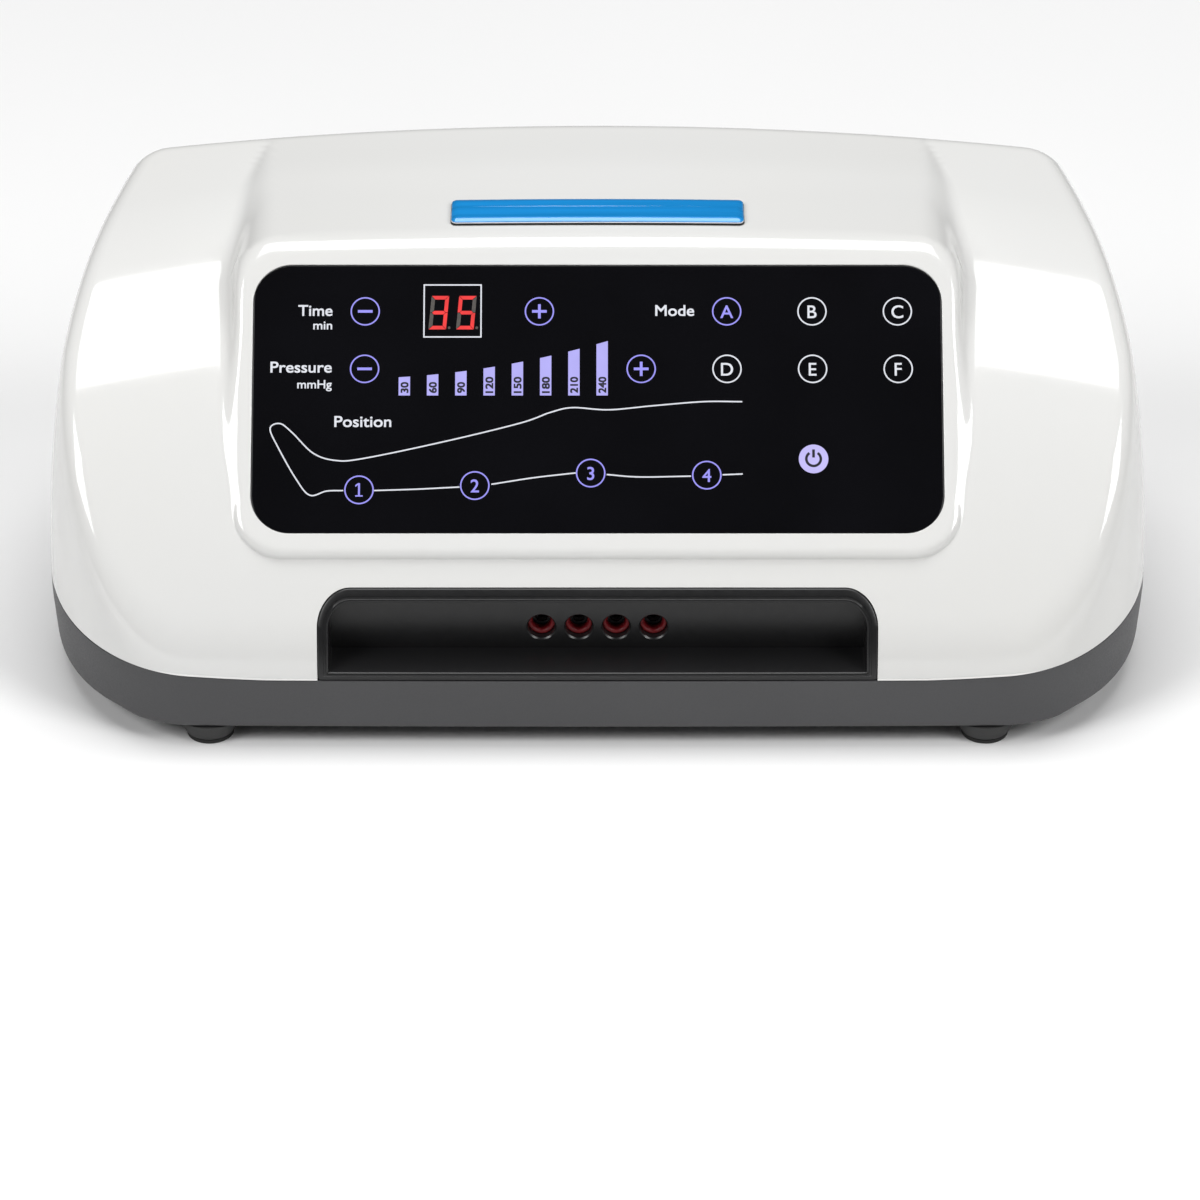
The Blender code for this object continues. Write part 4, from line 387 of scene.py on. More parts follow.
def rounded_outline(low, high, corners, steps, flat=()):
    """A rectangle with elliptic corners as arrays: centre + (across cos a, along sin a).

    Each corner takes a quarter turn, and the straights between corners are divided evenly.
    A flat corner is the straight line between its arc's two ends.
    """
    long_steps, short_steps, corner_steps = steps
    (x0, y0), (x1, y1) = low, high
    spots = ((x0, y0, 180), (x1, y0, 270), (x1, y1, 0), (x0, y1, 90))
    arcs = []
    for index, (x, y, first) in enumerate(spots):
        across, along = corners[index]
        centre = np.array([x + (across if x == x0 else -across), y + (along if y == y0 else -along)])
        turn = np.linspace(0, 1, corner_steps[index] + 1)[:, None]
        angle = np.radians(first + 90 * turn)
        arc = centre + np.hstack([across * np.cos(angle), along * np.sin(angle)])
        arcs.append(arc[:1] * (1 - turn) + arc[-1:] * turn if index in flat else arc)
    pieces = []
    for index, arc in enumerate(arcs):
        following = arcs[(index + 1) % 4][0]
        count = long_steps if index % 2 == 0 else short_steps
        turn = np.linspace(0, 1, count + 1)[1:-1, None]
        pieces += [arc, arc[-1] * (1 - turn) + following * turn]
    return np.concatenate(pieces)


def even(radius):
    return ((radius, radius),) * 4


# The case as fields, negative inside and close to a distance near the surface.


def blend_max(a, b, radius):
    """The larger of two fields, plus (r - |a - b|)^2 / 4r where they are nearer than r."""
    near = np.maximum(radius - np.abs(a - b), 0)
    return np.maximum(a, b) + near * near / (4 * radius)


def blend_min(a, b, radius):
    """The smaller of two fields, with the corner between them filled."""
    return -blend_max(-a, -b, radius)


def arc_max(a, b, radius):
    """The larger of two fields, with an arc of this radius where they cross."""
    arc = np.hypot(np.maximum(a + radius, 0), np.maximum(b + radius, 0)) - radius
    return np.where((a > -radius) & (b > -radius), arc, np.maximum(a, b))


def fade(value, start, span):
    """0 before start, 1 after start + span, and 3t^2 - 2t^3 between."""
    t = np.clip((value - start) / span, 0, 1)
    return t * t * (3 - 2 * t)


def slope_field(y, z, angle, through_y, through_z):
    """Height over a plane that rises backwards, measured square to it."""
    return cos(angle) * (z - through_z) - sin(angle) * (y - through_y)


def corner_field(across, along, radius_across, radius_along):
    """Distance past an elliptic corner: (|(a, b)| - 1) times the mean radius."""
    size = (radius_across * radius_along) ** 0.5
    a, b = across / radius_across, along / radius_along
    reach = np.hypot(np.maximum(a, 0), np.maximum(b, 0))
    return (reach + np.minimum(np.maximum(a, b), 0) - 1) * size


class CaseShape:
    """The outside of the case, worked out from its sizes."""

    outline_steps = (96, 40, (40, 40, 24, 24))

    def __init__(self):
        self.case = case = settings("case")
        self.glass = glass = settings("glass")
        self.half = case.width / 2
        self.front = -case.depth / 2
        self.rear = case.depth / 2
        self.glass_low = np.array([0, self.front + glass.low_back, PARTING + glass.low_up])
        self.up = np.array([0, cos(glass.slope), sin(glass.slope)])
        self.out = np.array([0, -sin(glass.slope), cos(glass.slope)])
        self.hood_edge = self.glass_low + (glass.length + glass.band_top) * self.up
        self.hood_end = self.rear - case.hood_rear_inset
        self.hood_run = self.hood_end - self.hood_edge[1]
        self.top = self.hood_edge[2] + self.hood_run * tan(case.hood_slope)
        self.star = np.array([0, 0, PARTING + (self.top - PARTING) / 5])

    def walls(self, points):
        """The upright walls: rounded corners, sides that taper backwards and lean inwards."""
        case = self.case
        x = np.abs(points[..., 0])
        back = points[..., 1] - self.front
        up = points[..., 2] - PARTING
        lean = case.side_lean * (np.maximum(up, 0) / (self.top - PARTING)) ** 2
        lean = lean + BASE_DRAFT * np.maximum(-up, 0) / case.base_depth
        reach = np.maximum(back - case.widest_back, 0) / (case.depth - case.widest_back)
        side = self.half - case.side_taper * reach**2 - lean
        front = case.front_bow * (x / (self.half - case.corner_across)) ** 2 + lean
        rear = case.depth - case.rear_bow * (x / self.half) ** 2 - case.rear_lean * lean
        front_arc = corner_field(
            x - side + case.corner_across,
            front + case.corner_back - back,
            case.corner_across,
            case.corner_back,
        )
        rear_radius = case.rear_corner
        rear_arc = corner_field(
            x - side + rear_radius, back - rear + rear_radius, rear_radius, rear_radius
        )
        return np.maximum(front_arc, rear_arc)

    def crown(self, x):
        """How far the top has fallen at x: the crown times (x / half width)^2."""
        return self.case.crown * (x / self.half) ** 2

    def parting_rise(self, x):
        """How far the parting line has risen at x: the rise times s^1.4, s from 0 to 1."""
        start = self.case.rise_start
        return self.case.rise * (np.maximum(np.abs(x) - start, 0) / (self.half - start)) ** 1.4

    def flanks(self, points):
        """The front face and the low surfaces beside the hood."""
        case = self.case
        x, y, z = np.moveaxis(points, -1, 0)
        face = slope_field(y, z, case.front_slope, self.front, PARTING + case.lip)
        foot_y = self.glass_low[1] + case.flank_setback
        rise = slope_field(y, z, case.flank_slope, foot_y, self.glass_low[2])
        top = slope_field(y, z + self.crown(x), case.flank_top, self.hood_end, self.top)
        return blend_max(blend_max(face, rise, case.flank_chin), top, case.flank_shoulder)

    def hood(self, points):
        """The raised hood: the panel's plane, the top, and sides that close in backwards."""
        case, glass = self.case, self.glass
        x, y, z = np.moveaxis(points, -1, 0)
        edge_y = self.hood_edge[1]
        panel = slope_field(y, z, glass.slope, self.glass_low[1], self.glass_low[2])
        back = np.clip((y - edge_y) / self.hood_run, 0, 1)
        fall = self.crown(x) * (case.crown_front + (1 - case.crown_front) * back)
        top = slope_field(y, z + fall, case.hood_slope, edge_y, self.hood_edge[2])
        closing = np.maximum(y - edge_y, 0) * tan(case.hood_taper)
        half = glass.width / 2 + glass.band_side
        side = np.abs(x) - half + closing + panel * tan(case.hood_lean)
        chin = -glass.band_foot - (points - self.glass_low) @ self.up
        change = case.hood_corner_rear - case.hood_corner
        corner = case.hood_corner + change * fade(y, edge_y, self.hood_run)
        edge = blend_max(
            arc_max(side, chin, glass.band_corner), arc_max(side, top, corner), case.hood_side_edge
        )
        return blend_max(panel, edge, case.rim)

    def outside(self, points):
        """The whole outside of the upper housing."""
        case = self.case
        y = points[..., 1]
        rise = fade(y, self.glass_low[1], case.root_fade)
        rise = rise * (1 - fade(y, self.hood_end - case.root_fade, case.root_fade))
        body = blend_min(self.flanks(points), self.hood(points), GAP + case.root * rise)
        return blend_max(self.walls(points), body, case.wall_edge)

    def solve(self, starts, directions, field, level=0.0, reach=0.4):
        """Where lines reach a level of a field, by halving the span that holds it."""
        near = np.zeros(directions.shape[:-1])
        far = np.full(directions.shape[:-1], reach)
        for _ in range(BISECTIONS):
            middle = (near + far) / 2
            inside = field(starts + middle[..., None] * directions) < level
            near = np.where(inside, middle, near)
            far = np.where(inside, far, middle)
        return starts + near[..., None] * directions

    def height_at(self, x, y, inset=0.0):
        """Height of the top surface over points of the plan."""
        x, y = np.broadcast_arrays(np.asarray(x, float), np.asarray(y, float))
        starts = np.stack([x, y, np.full(x.shape, PARTING)], axis=-1)
        up = np.broadcast_to([0.0, 0.0, 1.0], starts.shape)
        return self.solve(starts, up, self.outside, -inset)[..., 2]

    def on_panel(self, across, along, depth=0.0):
        """Points of the panel's plane: foot + across X + along the slope - depth outwards."""
        across, along = np.broadcast_arrays(np.asarray(across, float), np.asarray(along, float))
        depth = np.broadcast_to(np.asarray(depth, float), across.shape)
        side = across[..., None] * np.array([1.0, 0.0, 0.0])
        return self.glass_low + side + along[..., None] * self.up - depth[..., None] * self.out

    def glass_ring(self, offset, depth):
        """The glass's outline moved out by an offset, this deep under the panel's plane."""
        glass = self.glass
        half, corner = glass.width / 2 + offset, glass.corner + offset
        low, high = (-half, -offset), (half, glass.length + offset)
        ring = rounded_outline(low, high, even(corner), self.outline_steps)
        return self.on_panel(ring[:, 0], ring[:, 1], depth)

    def plan_ring(self, z, inset, risen=0.0):
        """The walls' outline at a height, plus a share of the parting line's rise, moved inwards."""
        case = self.case

        def field(points):
            rise = risen * self.parting_rise(points[:, :1])
            return self.walls(points + rise * np.array([0, 0, 1]))

        front = (case.corner_across, case.corner_back)
        rear = (case.rear_corner, case.rear_corner)
        low, high = (-self.half, self.front), (self.half, self.rear)
        plan = rounded_outline(low, high, (front, front, rear, rear), self.outline_steps)
        flat = np.column_stack([plan, np.zeros(len(plan))])
        directions = flat / np.linalg.norm(flat, axis=1)[:, None]
        starts = np.tile([0.0, 0.0, z], (len(directions), 1))
        ring = self.solve(starts, directions, field, -inset)
        ring[:, 2] += risen * self.parting_rise(ring[:, 0])
        return ring

    def aim(self, points):
        away = points - self.star
        return away / np.linalg.norm(away, axis=-1)[..., None]

    def on_fan(self, first, last, part, inset):
        """Surface points part of the way round from one ring to another.

        The aim turns from the first ring to the last along a great circle:
        (sin((1-s)w) first + sin(sw) last) / sin w, with w the angle between them.
        """
        start, stop = self.aim(first), self.aim(last)
        angle = np.arccos(np.clip((start * stop).sum(axis=-1), -1, 1))[..., None]
        part = np.asarray(part, float)[..., None]
        aimed = (np.sin((1 - part) * angle) * start + np.sin(part * angle) * stop) / np.sin(angle)
        return self.solve(np.broadcast_to(self.star, aimed.shape), aimed, self.outside, -inset)

    def crossing(self, first, last, difference, inset):
        """The share at which each spoke of a fan crosses to where a difference is positive."""
        near, far = np.zeros(len(first)), np.ones(len(first))
        for _ in range(BISECTIONS // 2):
            middle = (near + far) / 2
            passed = difference(self.on_fan(first, last, middle, inset)) > 0
            near = np.where(passed, near, middle)
            far = np.where(passed, middle, far)
        return near

    def past_hood(self, points):
        return self.hood(points) - self.flanks(points)

    def past_edge(self, points):
        return self.walls(points) - np.minimum(self.hood(points), self.flanks(points))

    def cover(self, first, last, counts, inset):
        """Rings on the surface from one ring to another, gathered where it bends most.

        They spread from the first ring to the hood's foot, from there to the brow over the
        walls, closely round the brow, and then straight down the walls.
        """
        to_foot, to_brow, round_brow, down = counts
        zenith = np.tile(self.star + (0, 0, 1), (len(last), 1))
        edge = self.crossing(zenith, last, self.past_edge, inset)
        above = edge - BROW_SHARE
        below = edge + np.minimum(BROW_SHARE, (1 - edge) / 2)
        brow = self.on_fan(zenith, last, above, inset)
        foot = np.clip(self.crossing(first, brow, self.past_hood, inset), 0.06, 0.8)
        steps = np.arange(1, to_foot + 1)[:, None] / to_foot
        parts = [foot * (1 - (1 - steps) ** 1.5)]
        steps = np.arange(1, to_brow)[:, None] / to_brow
        parts.append(foot + (1 - foot) * steps**1.25)
        over = self.on_fan(first[None], brow[None], np.concatenate(parts), inset)
        steps = np.arange(1, round_brow + 1)[:, None] / round_brow
        parts = [above + (below - above) * steps]
        steps = np.arange(1, down)[:, None] / down
        parts.append(below + (1 - below) * steps)
        sides = self.on_fan(zenith[None], last[None], np.concatenate(parts), inset)
        return np.concatenate([over, brow[None], sides])


BASE_DRAFT = 0.0013
BROW_SHARE = 0.022


def settle_normals(mesh, field, step=0.00002):
    """Corners of faces that lie on the field's surface take the field's own gradient.

    The gradient is the difference of the field over a short step each way along X, Y and Z.
    """
    points = np.empty(len(mesh.vertices) * 3, np.float32)
    mesh.vertices.foreach_get("co", points)
    points = points.reshape(-1, 3).astype(float)
    corner_vertex = np.empty(len(mesh.loops), np.int32)
    mesh.loops.foreach_get("vertex_index", corner_vertex)
    face_size = np.empty(len(mesh.polygons), np.int32)
    mesh.polygons.foreach_get("loop_total", face_size)
    facing = np.empty(len(mesh.polygons) * 3, np.float32)
    mesh.polygons.foreach_get("normal", facing)
    facing = np.repeat(facing.reshape(-1, 3), face_size, axis=0)
    kept = np.empty(len(mesh.loops) * 3, np.float32)
    mesh.corner_normals.foreach_get("vector", kept)
    kept = kept.reshape(-1, 3)
    moves = np.eye(3) * step
    gradient = np.stack([field(points + move) - field(points - move) for move in moves], axis=-1)
    gradient /= np.maximum(np.linalg.norm(gradient, axis=1), 1e-12)[:, None]
    on_surface = np.abs(field(points)) < step * 2
    own = gradient[corner_vertex]
    taken = on_surface[corner_vertex] & ((own * facing).sum(axis=1) > FACING_LIMIT)
    kept = np.where(taken[:, None], own, kept)
    mesh.normals_split_custom_set(kept.tolist())


# Finishes. Each is one material, made when it is first asked for.


class Finish:
    """A material's nodes, joined with few words. Textures take the object's coordinates."""

    def __init__(self, name):
        self.material = bpy.data.materials.new(name)
        self.material.use_nodes = True
        self.tree = self.material.node_tree
        self.shader = self.tree.nodes["Principled BSDF"]
        self.place = self.tree.nodes.new("ShaderNodeTexCoord").outputs["Object"]

    def set(self, **values):
        for name, value in values.items():
            self.shader.inputs[name.replace("_", " ")].default_value = value

    def link(self, source, name):
        self.tree.links.new(source, self.shader.inputs[name.replace("_", " ")])

    def stretched(self, scale):
        """The object's coordinates, scaled along each axis."""
        node = self.tree.nodes.new("ShaderNodeMapping")
        node.inputs["Scale"].default_value = scale
        self.tree.links.new(self.place, node.inputs["Vector"])
        return node.outputs["Vector"]

    def noise(self, scale, detail=2.0, vector=None):
        node = self.tree.nodes.new("ShaderNodeTexNoise")
        node.inputs["Scale"].default_value = scale
        node.inputs["Detail"].default_value = detail
        self.tree.links.new(vector or self.place, node.inputs["Vector"])
        return node.outputs["Fac"]

    def bands(self, scale, axis="Z", distortion=0.0):
        node = self.tree.nodes.new("ShaderNodeTexWave")
        node.bands_direction = axis
        node.inputs["Scale"].default_value = scale
        node.inputs["Distortion"].default_value = distortion
        self.tree.links.new(self.place, node.inputs["Vector"])
        return node.outputs["Fac"]

    def cells(self, scale):
        node = self.tree.nodes.new("ShaderNodeTexVoronoi")
        node.inputs["Scale"].default_value = scale
        self.tree.links.new(self.place, node.inputs["Vector"])
        return node.outputs["Distance"]

    def height(self):
        """The object's own Z, as a number."""
        node = self.tree.nodes.new("ShaderNodeSeparateXYZ")
        self.tree.links.new(self.place, node.inputs["Vector"])
        return node.outputs["Z"]

    def span(self, source, low, high, to_low, to_high):
        """A number moved from one span to another."""
        node = self.tree.nodes.new("ShaderNodeMapRange")
        for name, value in zip(("From Min", "From Max", "To Min", "To Max"), (low, high, to_low, to_high)):
            node.inputs[name].default_value = value
        self.tree.links.new(source, node.inputs["Value"])
        return node.outputs["Result"]

    def ramp(self, source, *stops):
        """A colour ramp through (position, colour) stops."""
        node = self.tree.nodes.new("ShaderNodeValToRGB")
        elements = node.color_ramp.elements
        for _ in stops[2:]:
            elements.new(0.5)
        for element, (position, tint) in zip(elements, stops):
            element.position = position
            element.color = (*tint, 1)
        self.tree.links.new(source, node.inputs["Fac"])
        return node.outputs["Color"]

    def bump(self, source, depth, strength=1.0):
        node = self.tree.nodes.new("ShaderNodeBump")
        node.inputs["Strength"].default_value = strength
        node.inputs["Distance"].default_value = depth
        self.tree.links.new(source, node.inputs["Height"])
        self.tree.links.new(node.outputs["Normal"], self.shader.inputs["Normal"])


def shade(tint, factor):
    return tuple(min(channel * factor, 1.0) for channel in tint)


def gloss_white(finish):
    """Polished white moulding: slight sink waves, and a faint yellowing here and there."""
    tint = settings("colours").shell
    warm = (tint[0], tint[1] * 0.996, tint[2] * 0.985)
    finish.link(finish.ramp(finish.noise(9, 3), (0.3, tint), (0.75, warm)), "Base_Color")
    finish.link(finish.span(finish.noise(60, 4), 0.3, 0.7, 0.085, 0.13), "Roughness")
    finish.bump(finish.noise(35, 1), 0.00006, 0.35)
    finish.set(IOR=1.5, Coat_Weight=0.35, Coat_Roughness=0.04)


def etched_grey(finish):
    """Spark-etched grey moulding: a fine even grain under a dull sheen."""
    tint = settings("colours").base
    grain = finish.noise(1500, 4)
    finish.link(finish.ramp(finish.noise(14, 3), (0.3, shade(tint, 0.93)), (0.7, shade(tint, 1.07))), "Base_Color")
    finish.link(finish.span(grain, 0.3, 0.7, 0.42, 0.58), "Roughness")
    finish.bump(grain, 0.00004, 0.5)


def black_glass(finish):
    """Touch glass printed black from behind, with the faintest wiping haze."""
    tint = settings("colours").glass
    finish.link(finish.ramp(finish.noise(20, 3), (0.3, tint), (0.8, shade(tint, 1.6))), "Base_Color")
    finish.link(finish.span(finish.noise(45, 5), 0.35, 0.75, 0.03, 0.075), "Roughness")
    finish.set(IOR=1.5, Specular_IOR_Level=0.3)


def glow(finish, tint, strength, evenness=0.92, body=0.02):
    """A lit mark, a little brighter where its light source sits; a printed mark gets the same emission, spots and
    all, as a painted glow.
    """
    spots = finish.noise(160, 1)
    finish.link(finish.ramp(spots, (0.25, shade(tint, evenness)), (0.75, tint)), "Emission_Color")
    own = shade(tint, body)
    finish.link(finish.ramp(spots, (0.25, shade(own, evenness)), (0.75, own)), "Base_Color")
    finish.set(Roughness=0.35, Emission_Strength=strength)


def lit_lilac(finish):
    glow(finish, settings("colours").lit, 1.0)


def lit_lilac_pale(finish):
    """The power key's own lamp, which is whiter."""
    glow(finish, (0.6, 0.55, 1.0), 0.95)


def lit_bars(finish):
    """The pressure bars, paler than the rings."""
    glow(finish, (0.475, 0.445, 0.955), 1.0)


def white_print(finish):
    # White print: half its colour as base colour, plus emission at half strength that is a painted glow, because
    # the print is no lamp.
    glow(finish, settings("colours").ink, 0.5, body=0.5)


def red_segment(finish):
    glow(finish, settings("colours").led, 1.0, 0.75)


def dark_segment(finish):
    """An unlit segment: grey diffusing plastic."""
    finish.link(finish.ramp(finish.noise(600, 2), (0.3, (0.045, 0.04, 0.036)), (0.7, (0.07, 0.06, 0.052))), "Base_Color")
    finish.set(Roughness=0.6)


def black_print(finish):
    finish.link(finish.ramp(finish.noise(400, 2), (0.3, (0.004, 0.004, 0.01)), (0.7, (0.008, 0.008, 0.016))), "Base_Color")
    finish.set(Roughness=0.4)


def satin_black(finish):
    """The bay's black moulding: satin, with a fine grain that softens its gloss."""
    tint = settings("colours").bay
    grain = finish.noise(500, 2)
    finish.link(finish.ramp(finish.noise(25, 3), (0.3, tint), (0.7, shade(tint, 1.2))), "Base_Color")
    finish.link(finish.span(grain, 0.3, 0.7, 0.3, 0.36), "Roughness")
    finish.bump(grain, 0.00001, 0.2)


def domed_blue(finish):
    """Blue foil under clear resin: brushed along its length, with a hard gloss on top."""
    tint = settings("colours").tag
    brushed = finish.noise(300, 4, finish.stretched((0.02, 1, 1)))
    finish.link(finish.ramp(brushed, (0.3, shade(tint, 0.86)), (0.7, shade(tint, 1.18))), "Base_Color")
    finish.link(finish.span(brushed, 0.3, 0.7, 0.22, 0.34), "Roughness")
    finish.set(Metallic=0.1, Coat_Weight=1.0, Coat_Roughness=0.03, Coat_IOR=1.5)


def tag_white(finish):
    finish.link(finish.ramp(finish.noise(90, 2), (0.3, (0.78, 0.8, 0.82)), (0.7, (0.86, 0.88, 0.9))), "Base_Color")
    finish.set(Roughness=0.25)


def tag_backing(finish):
    """Black foam tape under the nameplate, with open pores."""
    finish.link(finish.ramp(finish.cells(2500), (0.1, (0.002, 0.002, 0.002)), (0.6, (0.012, 0.012, 0.013))), "Base_Color")
    finish.set(Roughness=0.85)


def silicone(finish):
    """Dark red silicone: soft sheen, slightly cloudy."""
    tint = settings("colours").seal
    finish.link(finish.ramp(finish.noise(350, 3), (0.3, shade(tint, 0.8)), (0.7, shade(tint, 1.2))), "Base_Color")
    finish.link(finish.span(finish.noise(900, 3), 0.3, 0.7, 0.34, 0.48), "Roughness")


def foot_rubber(finish):
    grain = finish.noise(1800, 4)
    finish.link(finish.ramp(grain, (0.3, (0.008, 0.008, 0.008)), (0.7, (0.02, 0.02, 0.02))), "Base_Color")
    finish.link(finish.span(grain, 0.3, 0.7, 0.7, 0.88), "Roughness")
    finish.bump(grain, 0.00005, 0.6)


def foot_grey(finish):
    grain = finish.noise(1300, 3)
    finish.link(finish.ramp(finish.noise(60, 2), (0.3, (0.024, 0.024, 0.026)), (0.7, (0.034, 0.034, 0.036))), "Base_Color")
    finish.link(finish.span(grain, 0.3, 0.7, 0.42, 0.56), "Roughness")
    finish.bump(grain, 0.00003, 0.4)


def fitting_black(finish):
    """Glass-filled black nylon, a little mottled."""
    grain = finish.noise(900, 4)
    finish.link(finish.ramp(grain, (0.3, (0.012, 0.012, 0.013)), (0.7, (0.026, 0.026, 0.028))), "Base_Color")
    finish.link(finish.span(grain, 0.3, 0.7, 0.32, 0.46), "Roughness")
    finish.bump(grain, 0.00003, 0.4)


def milky_guide(finish):
    """Milky acrylic that spreads the lamps' light."""
    finish.link(finish.ramp(finish.noise(80, 2), (0.3, (0.66, 0.67, 0.72)), (0.7, (0.74, 0.75, 0.8))), "Base_Color")
    finish.set(Roughness=0.38, Subsurface_Weight=0.3, Subsurface_Scale=0.002)


def display_body(finish):
    finish.link(finish.ramp(finish.noise(200, 2), (0.3, (0.02, 0.008, 0.008)), (0.7, (0.035, 0.012, 0.012))), "Base_Color")
    finish.set(Roughness=0.4)


def circuit_board(finish):
    """Green board below, dark and grey parts above it, told apart by height."""
    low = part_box("main_board")[0].z
    level = finish.span(finish.height(), low, low + 0.024, 0, 1)
    tracks = finish.ramp(
        level,
        (0.0, (0.012, 0.11, 0.05)),
        (0.08, (0.012, 0.11, 0.05)),
        (0.1, (0.02, 0.02, 0.022)),
        (0.6, (0.03, 0.03, 0.035)),
        (0.7, (0.35, 0.36, 0.38)),
    )
    finish.link(tracks, "Base_Color")
    finish.link(finish.span(finish.noise(300, 3), 0.3, 0.7, 0.35, 0.5), "Roughness")
    finish.bump(finish.cells(260), 0.00008, 0.3)


def touch_board(finish):
    finish.link(finish.ramp(finish.cells(220), (0.1, (0.01, 0.12, 0.05)), (0.5, (0.008, 0.07, 0.03))), "Base_Color")
    finish.set(Roughness=0.42)


def nylon(finish):
    """Natural nylon of the valves and the manifold."""
    finish.link(finish.ramp(finish.noise(50, 3), (0.3, (0.68, 0.66, 0.6)), (0.7, (0.76, 0.74, 0.69))), "Base_Color")
    finish.link(finish.span(finish.noise(700, 3), 0.3, 0.7, 0.36, 0.48), "Roughness")
    finish.set(Subsurface_Weight=0.15, Subsurface_Scale=0.001)


def clear_hose(finish):
    """Clear soft hose, slightly hazy."""
    finish.link(finish.ramp(finish.noise(120, 2), (0.3, (0.7, 0.73, 0.74)), (0.7, (0.8, 0.82, 0.83))), "Base_Color")
    finish.link(finish.span(finish.noise(260, 2), 0.3, 0.7, 0.14, 0.24), "Roughness")
    finish.set(Transmission_Weight=0.55, IOR=1.41)


def copper_winding(finish):
    """Enamelled wire laid side by side."""
    turns = finish.bands(700, "Z", 0.4)
    finish.link(finish.ramp(turns, (0.1, (0.28, 0.09, 0.03)), (0.6, (0.62, 0.25, 0.09))), "Base_Color")
    finish.bump(turns, 0.00012, 0.6)
    finish.set(Metallic=0.7, Roughness=0.32)


def core_steel(finish):
    """Stacked sheets of electrical steel."""
    sheets = finish.bands(330, "Z", 0.2)
    finish.link(finish.ramp(sheets, (0.1, (0.1, 0.1, 0.11)), (0.6, (0.28, 0.28, 0.3))), "Base_Color")
    finish.bump(sheets, 0.00008, 0.5)
    finish.set(Metallic=0.9, Roughness=0.42)


def cast_alloy(finish):
    grain = finish.noise(500, 4)
    finish.link(finish.ramp(grain, (0.3, (0.5, 0.5, 0.52)), (0.7, (0.64, 0.64, 0.66))), "Base_Color")
    finish.link(finish.span(grain, 0.3, 0.7, 0.3, 0.45), "Roughness")
    finish.bump(grain, 0.00004, 0.4)
    finish.set(Metallic=0.95)


def plated_steel(finish):
    brushed = finish.noise(900, 4, finish.stretched((1, 1, 0.08)))
    finish.link(finish.ramp(brushed, (0.3, (0.46, 0.46, 0.47)), (0.7, (0.6, 0.6, 0.61))), "Base_Color")
    finish.link(finish.span(brushed, 0.3, 0.7, 0.2, 0.34), "Roughness")
    finish.set(Metallic=1.0)


def studio_floor(finish):
    finish.link(finish.ramp(finish.noise(1.5, 2), (0.3, (0.86, 0.86, 0.86)), (0.7, (0.9, 0.9, 0.9))), "Base_Color")
    finish.set(Roughness=0.6)


def finish_of(make):
    """The material that a finish function makes, made once and named after it."""
    found = bpy.data.materials.get(make.__name__)
    if found:
        return found
    finish = Finish(make.__name__)
    make(finish)
    return finish.material


def repaint(make, *nodes):
    for name in nodes:
        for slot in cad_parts[name].material_slots:
            slot.material = finish_of(make)


def numbered(name, count=4):
    return [f"{name}_{number}" for number in range(1, count + 1)]


# Pieces of the case.


BAY_STEPS = (60, 12, (4, 4, 20, 20))
POST_RADIUS = 0.0048
TUBE_RADIUS = 0.0064
SCREW_BITE = 0.011
SCREW_BORE = 0.002
SCREW_RECESS = 0.009
SCREW_RECESS_RADIUS = 0.0039
FLOOR_THICKNESS = 0.0025
TONGUE_RISE = 0.0025
TONGUE_WALL = 0.0013
TONGUE_ROOT = 0.004
BASE_EDGE = 0.002


def bay_ring(side, top, sill, corner, foot=0.0008):
    """The bay's outline seen from the front, as (x, z), moved in on each side."""
    outlet = settings("outlet")
    half = BEZEL_HIGH.x + GAP - side
    low = (-half, PARTING + sill)
    high = (half, PARTING + outlet.bay_height - top)
    corners = ((foot, foot), (foot, foot), (corner, corner), (corner, corner))
    return rounded_outline(low, high, corners, BAY_STEPS)


def screw_places():
    for name in numbered("case_screw"):
        low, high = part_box(name)
        yield (low.x + high.x) / 2, (low.y + high.y) / 2


def fitting_seats(shape):
    """The shallow flat seats and holes that the two mains fittings need in the rear wall."""
    wall = shape.case.wall
    seats = []
    for (low, high), body_inset in (
        ((INLET_LOW, INLET_HIGH), INLET_BODY_INSET),
        ((SWITCH_LOW, SWITCH_HIGH), SWITCH_BODY_INSET),
    ):
        face = high.y - FLANGE - GAP
        for inset, start in ((-GAP, face), (body_inset - GAP, face - 2 * wall)):
            corner = (low.x + inset, start, low.z + inset)
            seats.append(block(corner, (high.x - inset, shape.rear + OVERRUN, high.z - inset)))
    return seats


FLANGE = 0.002
INLET_BODY_INSET = 0.0022
SWITCH_BODY_INSET = 0.0012


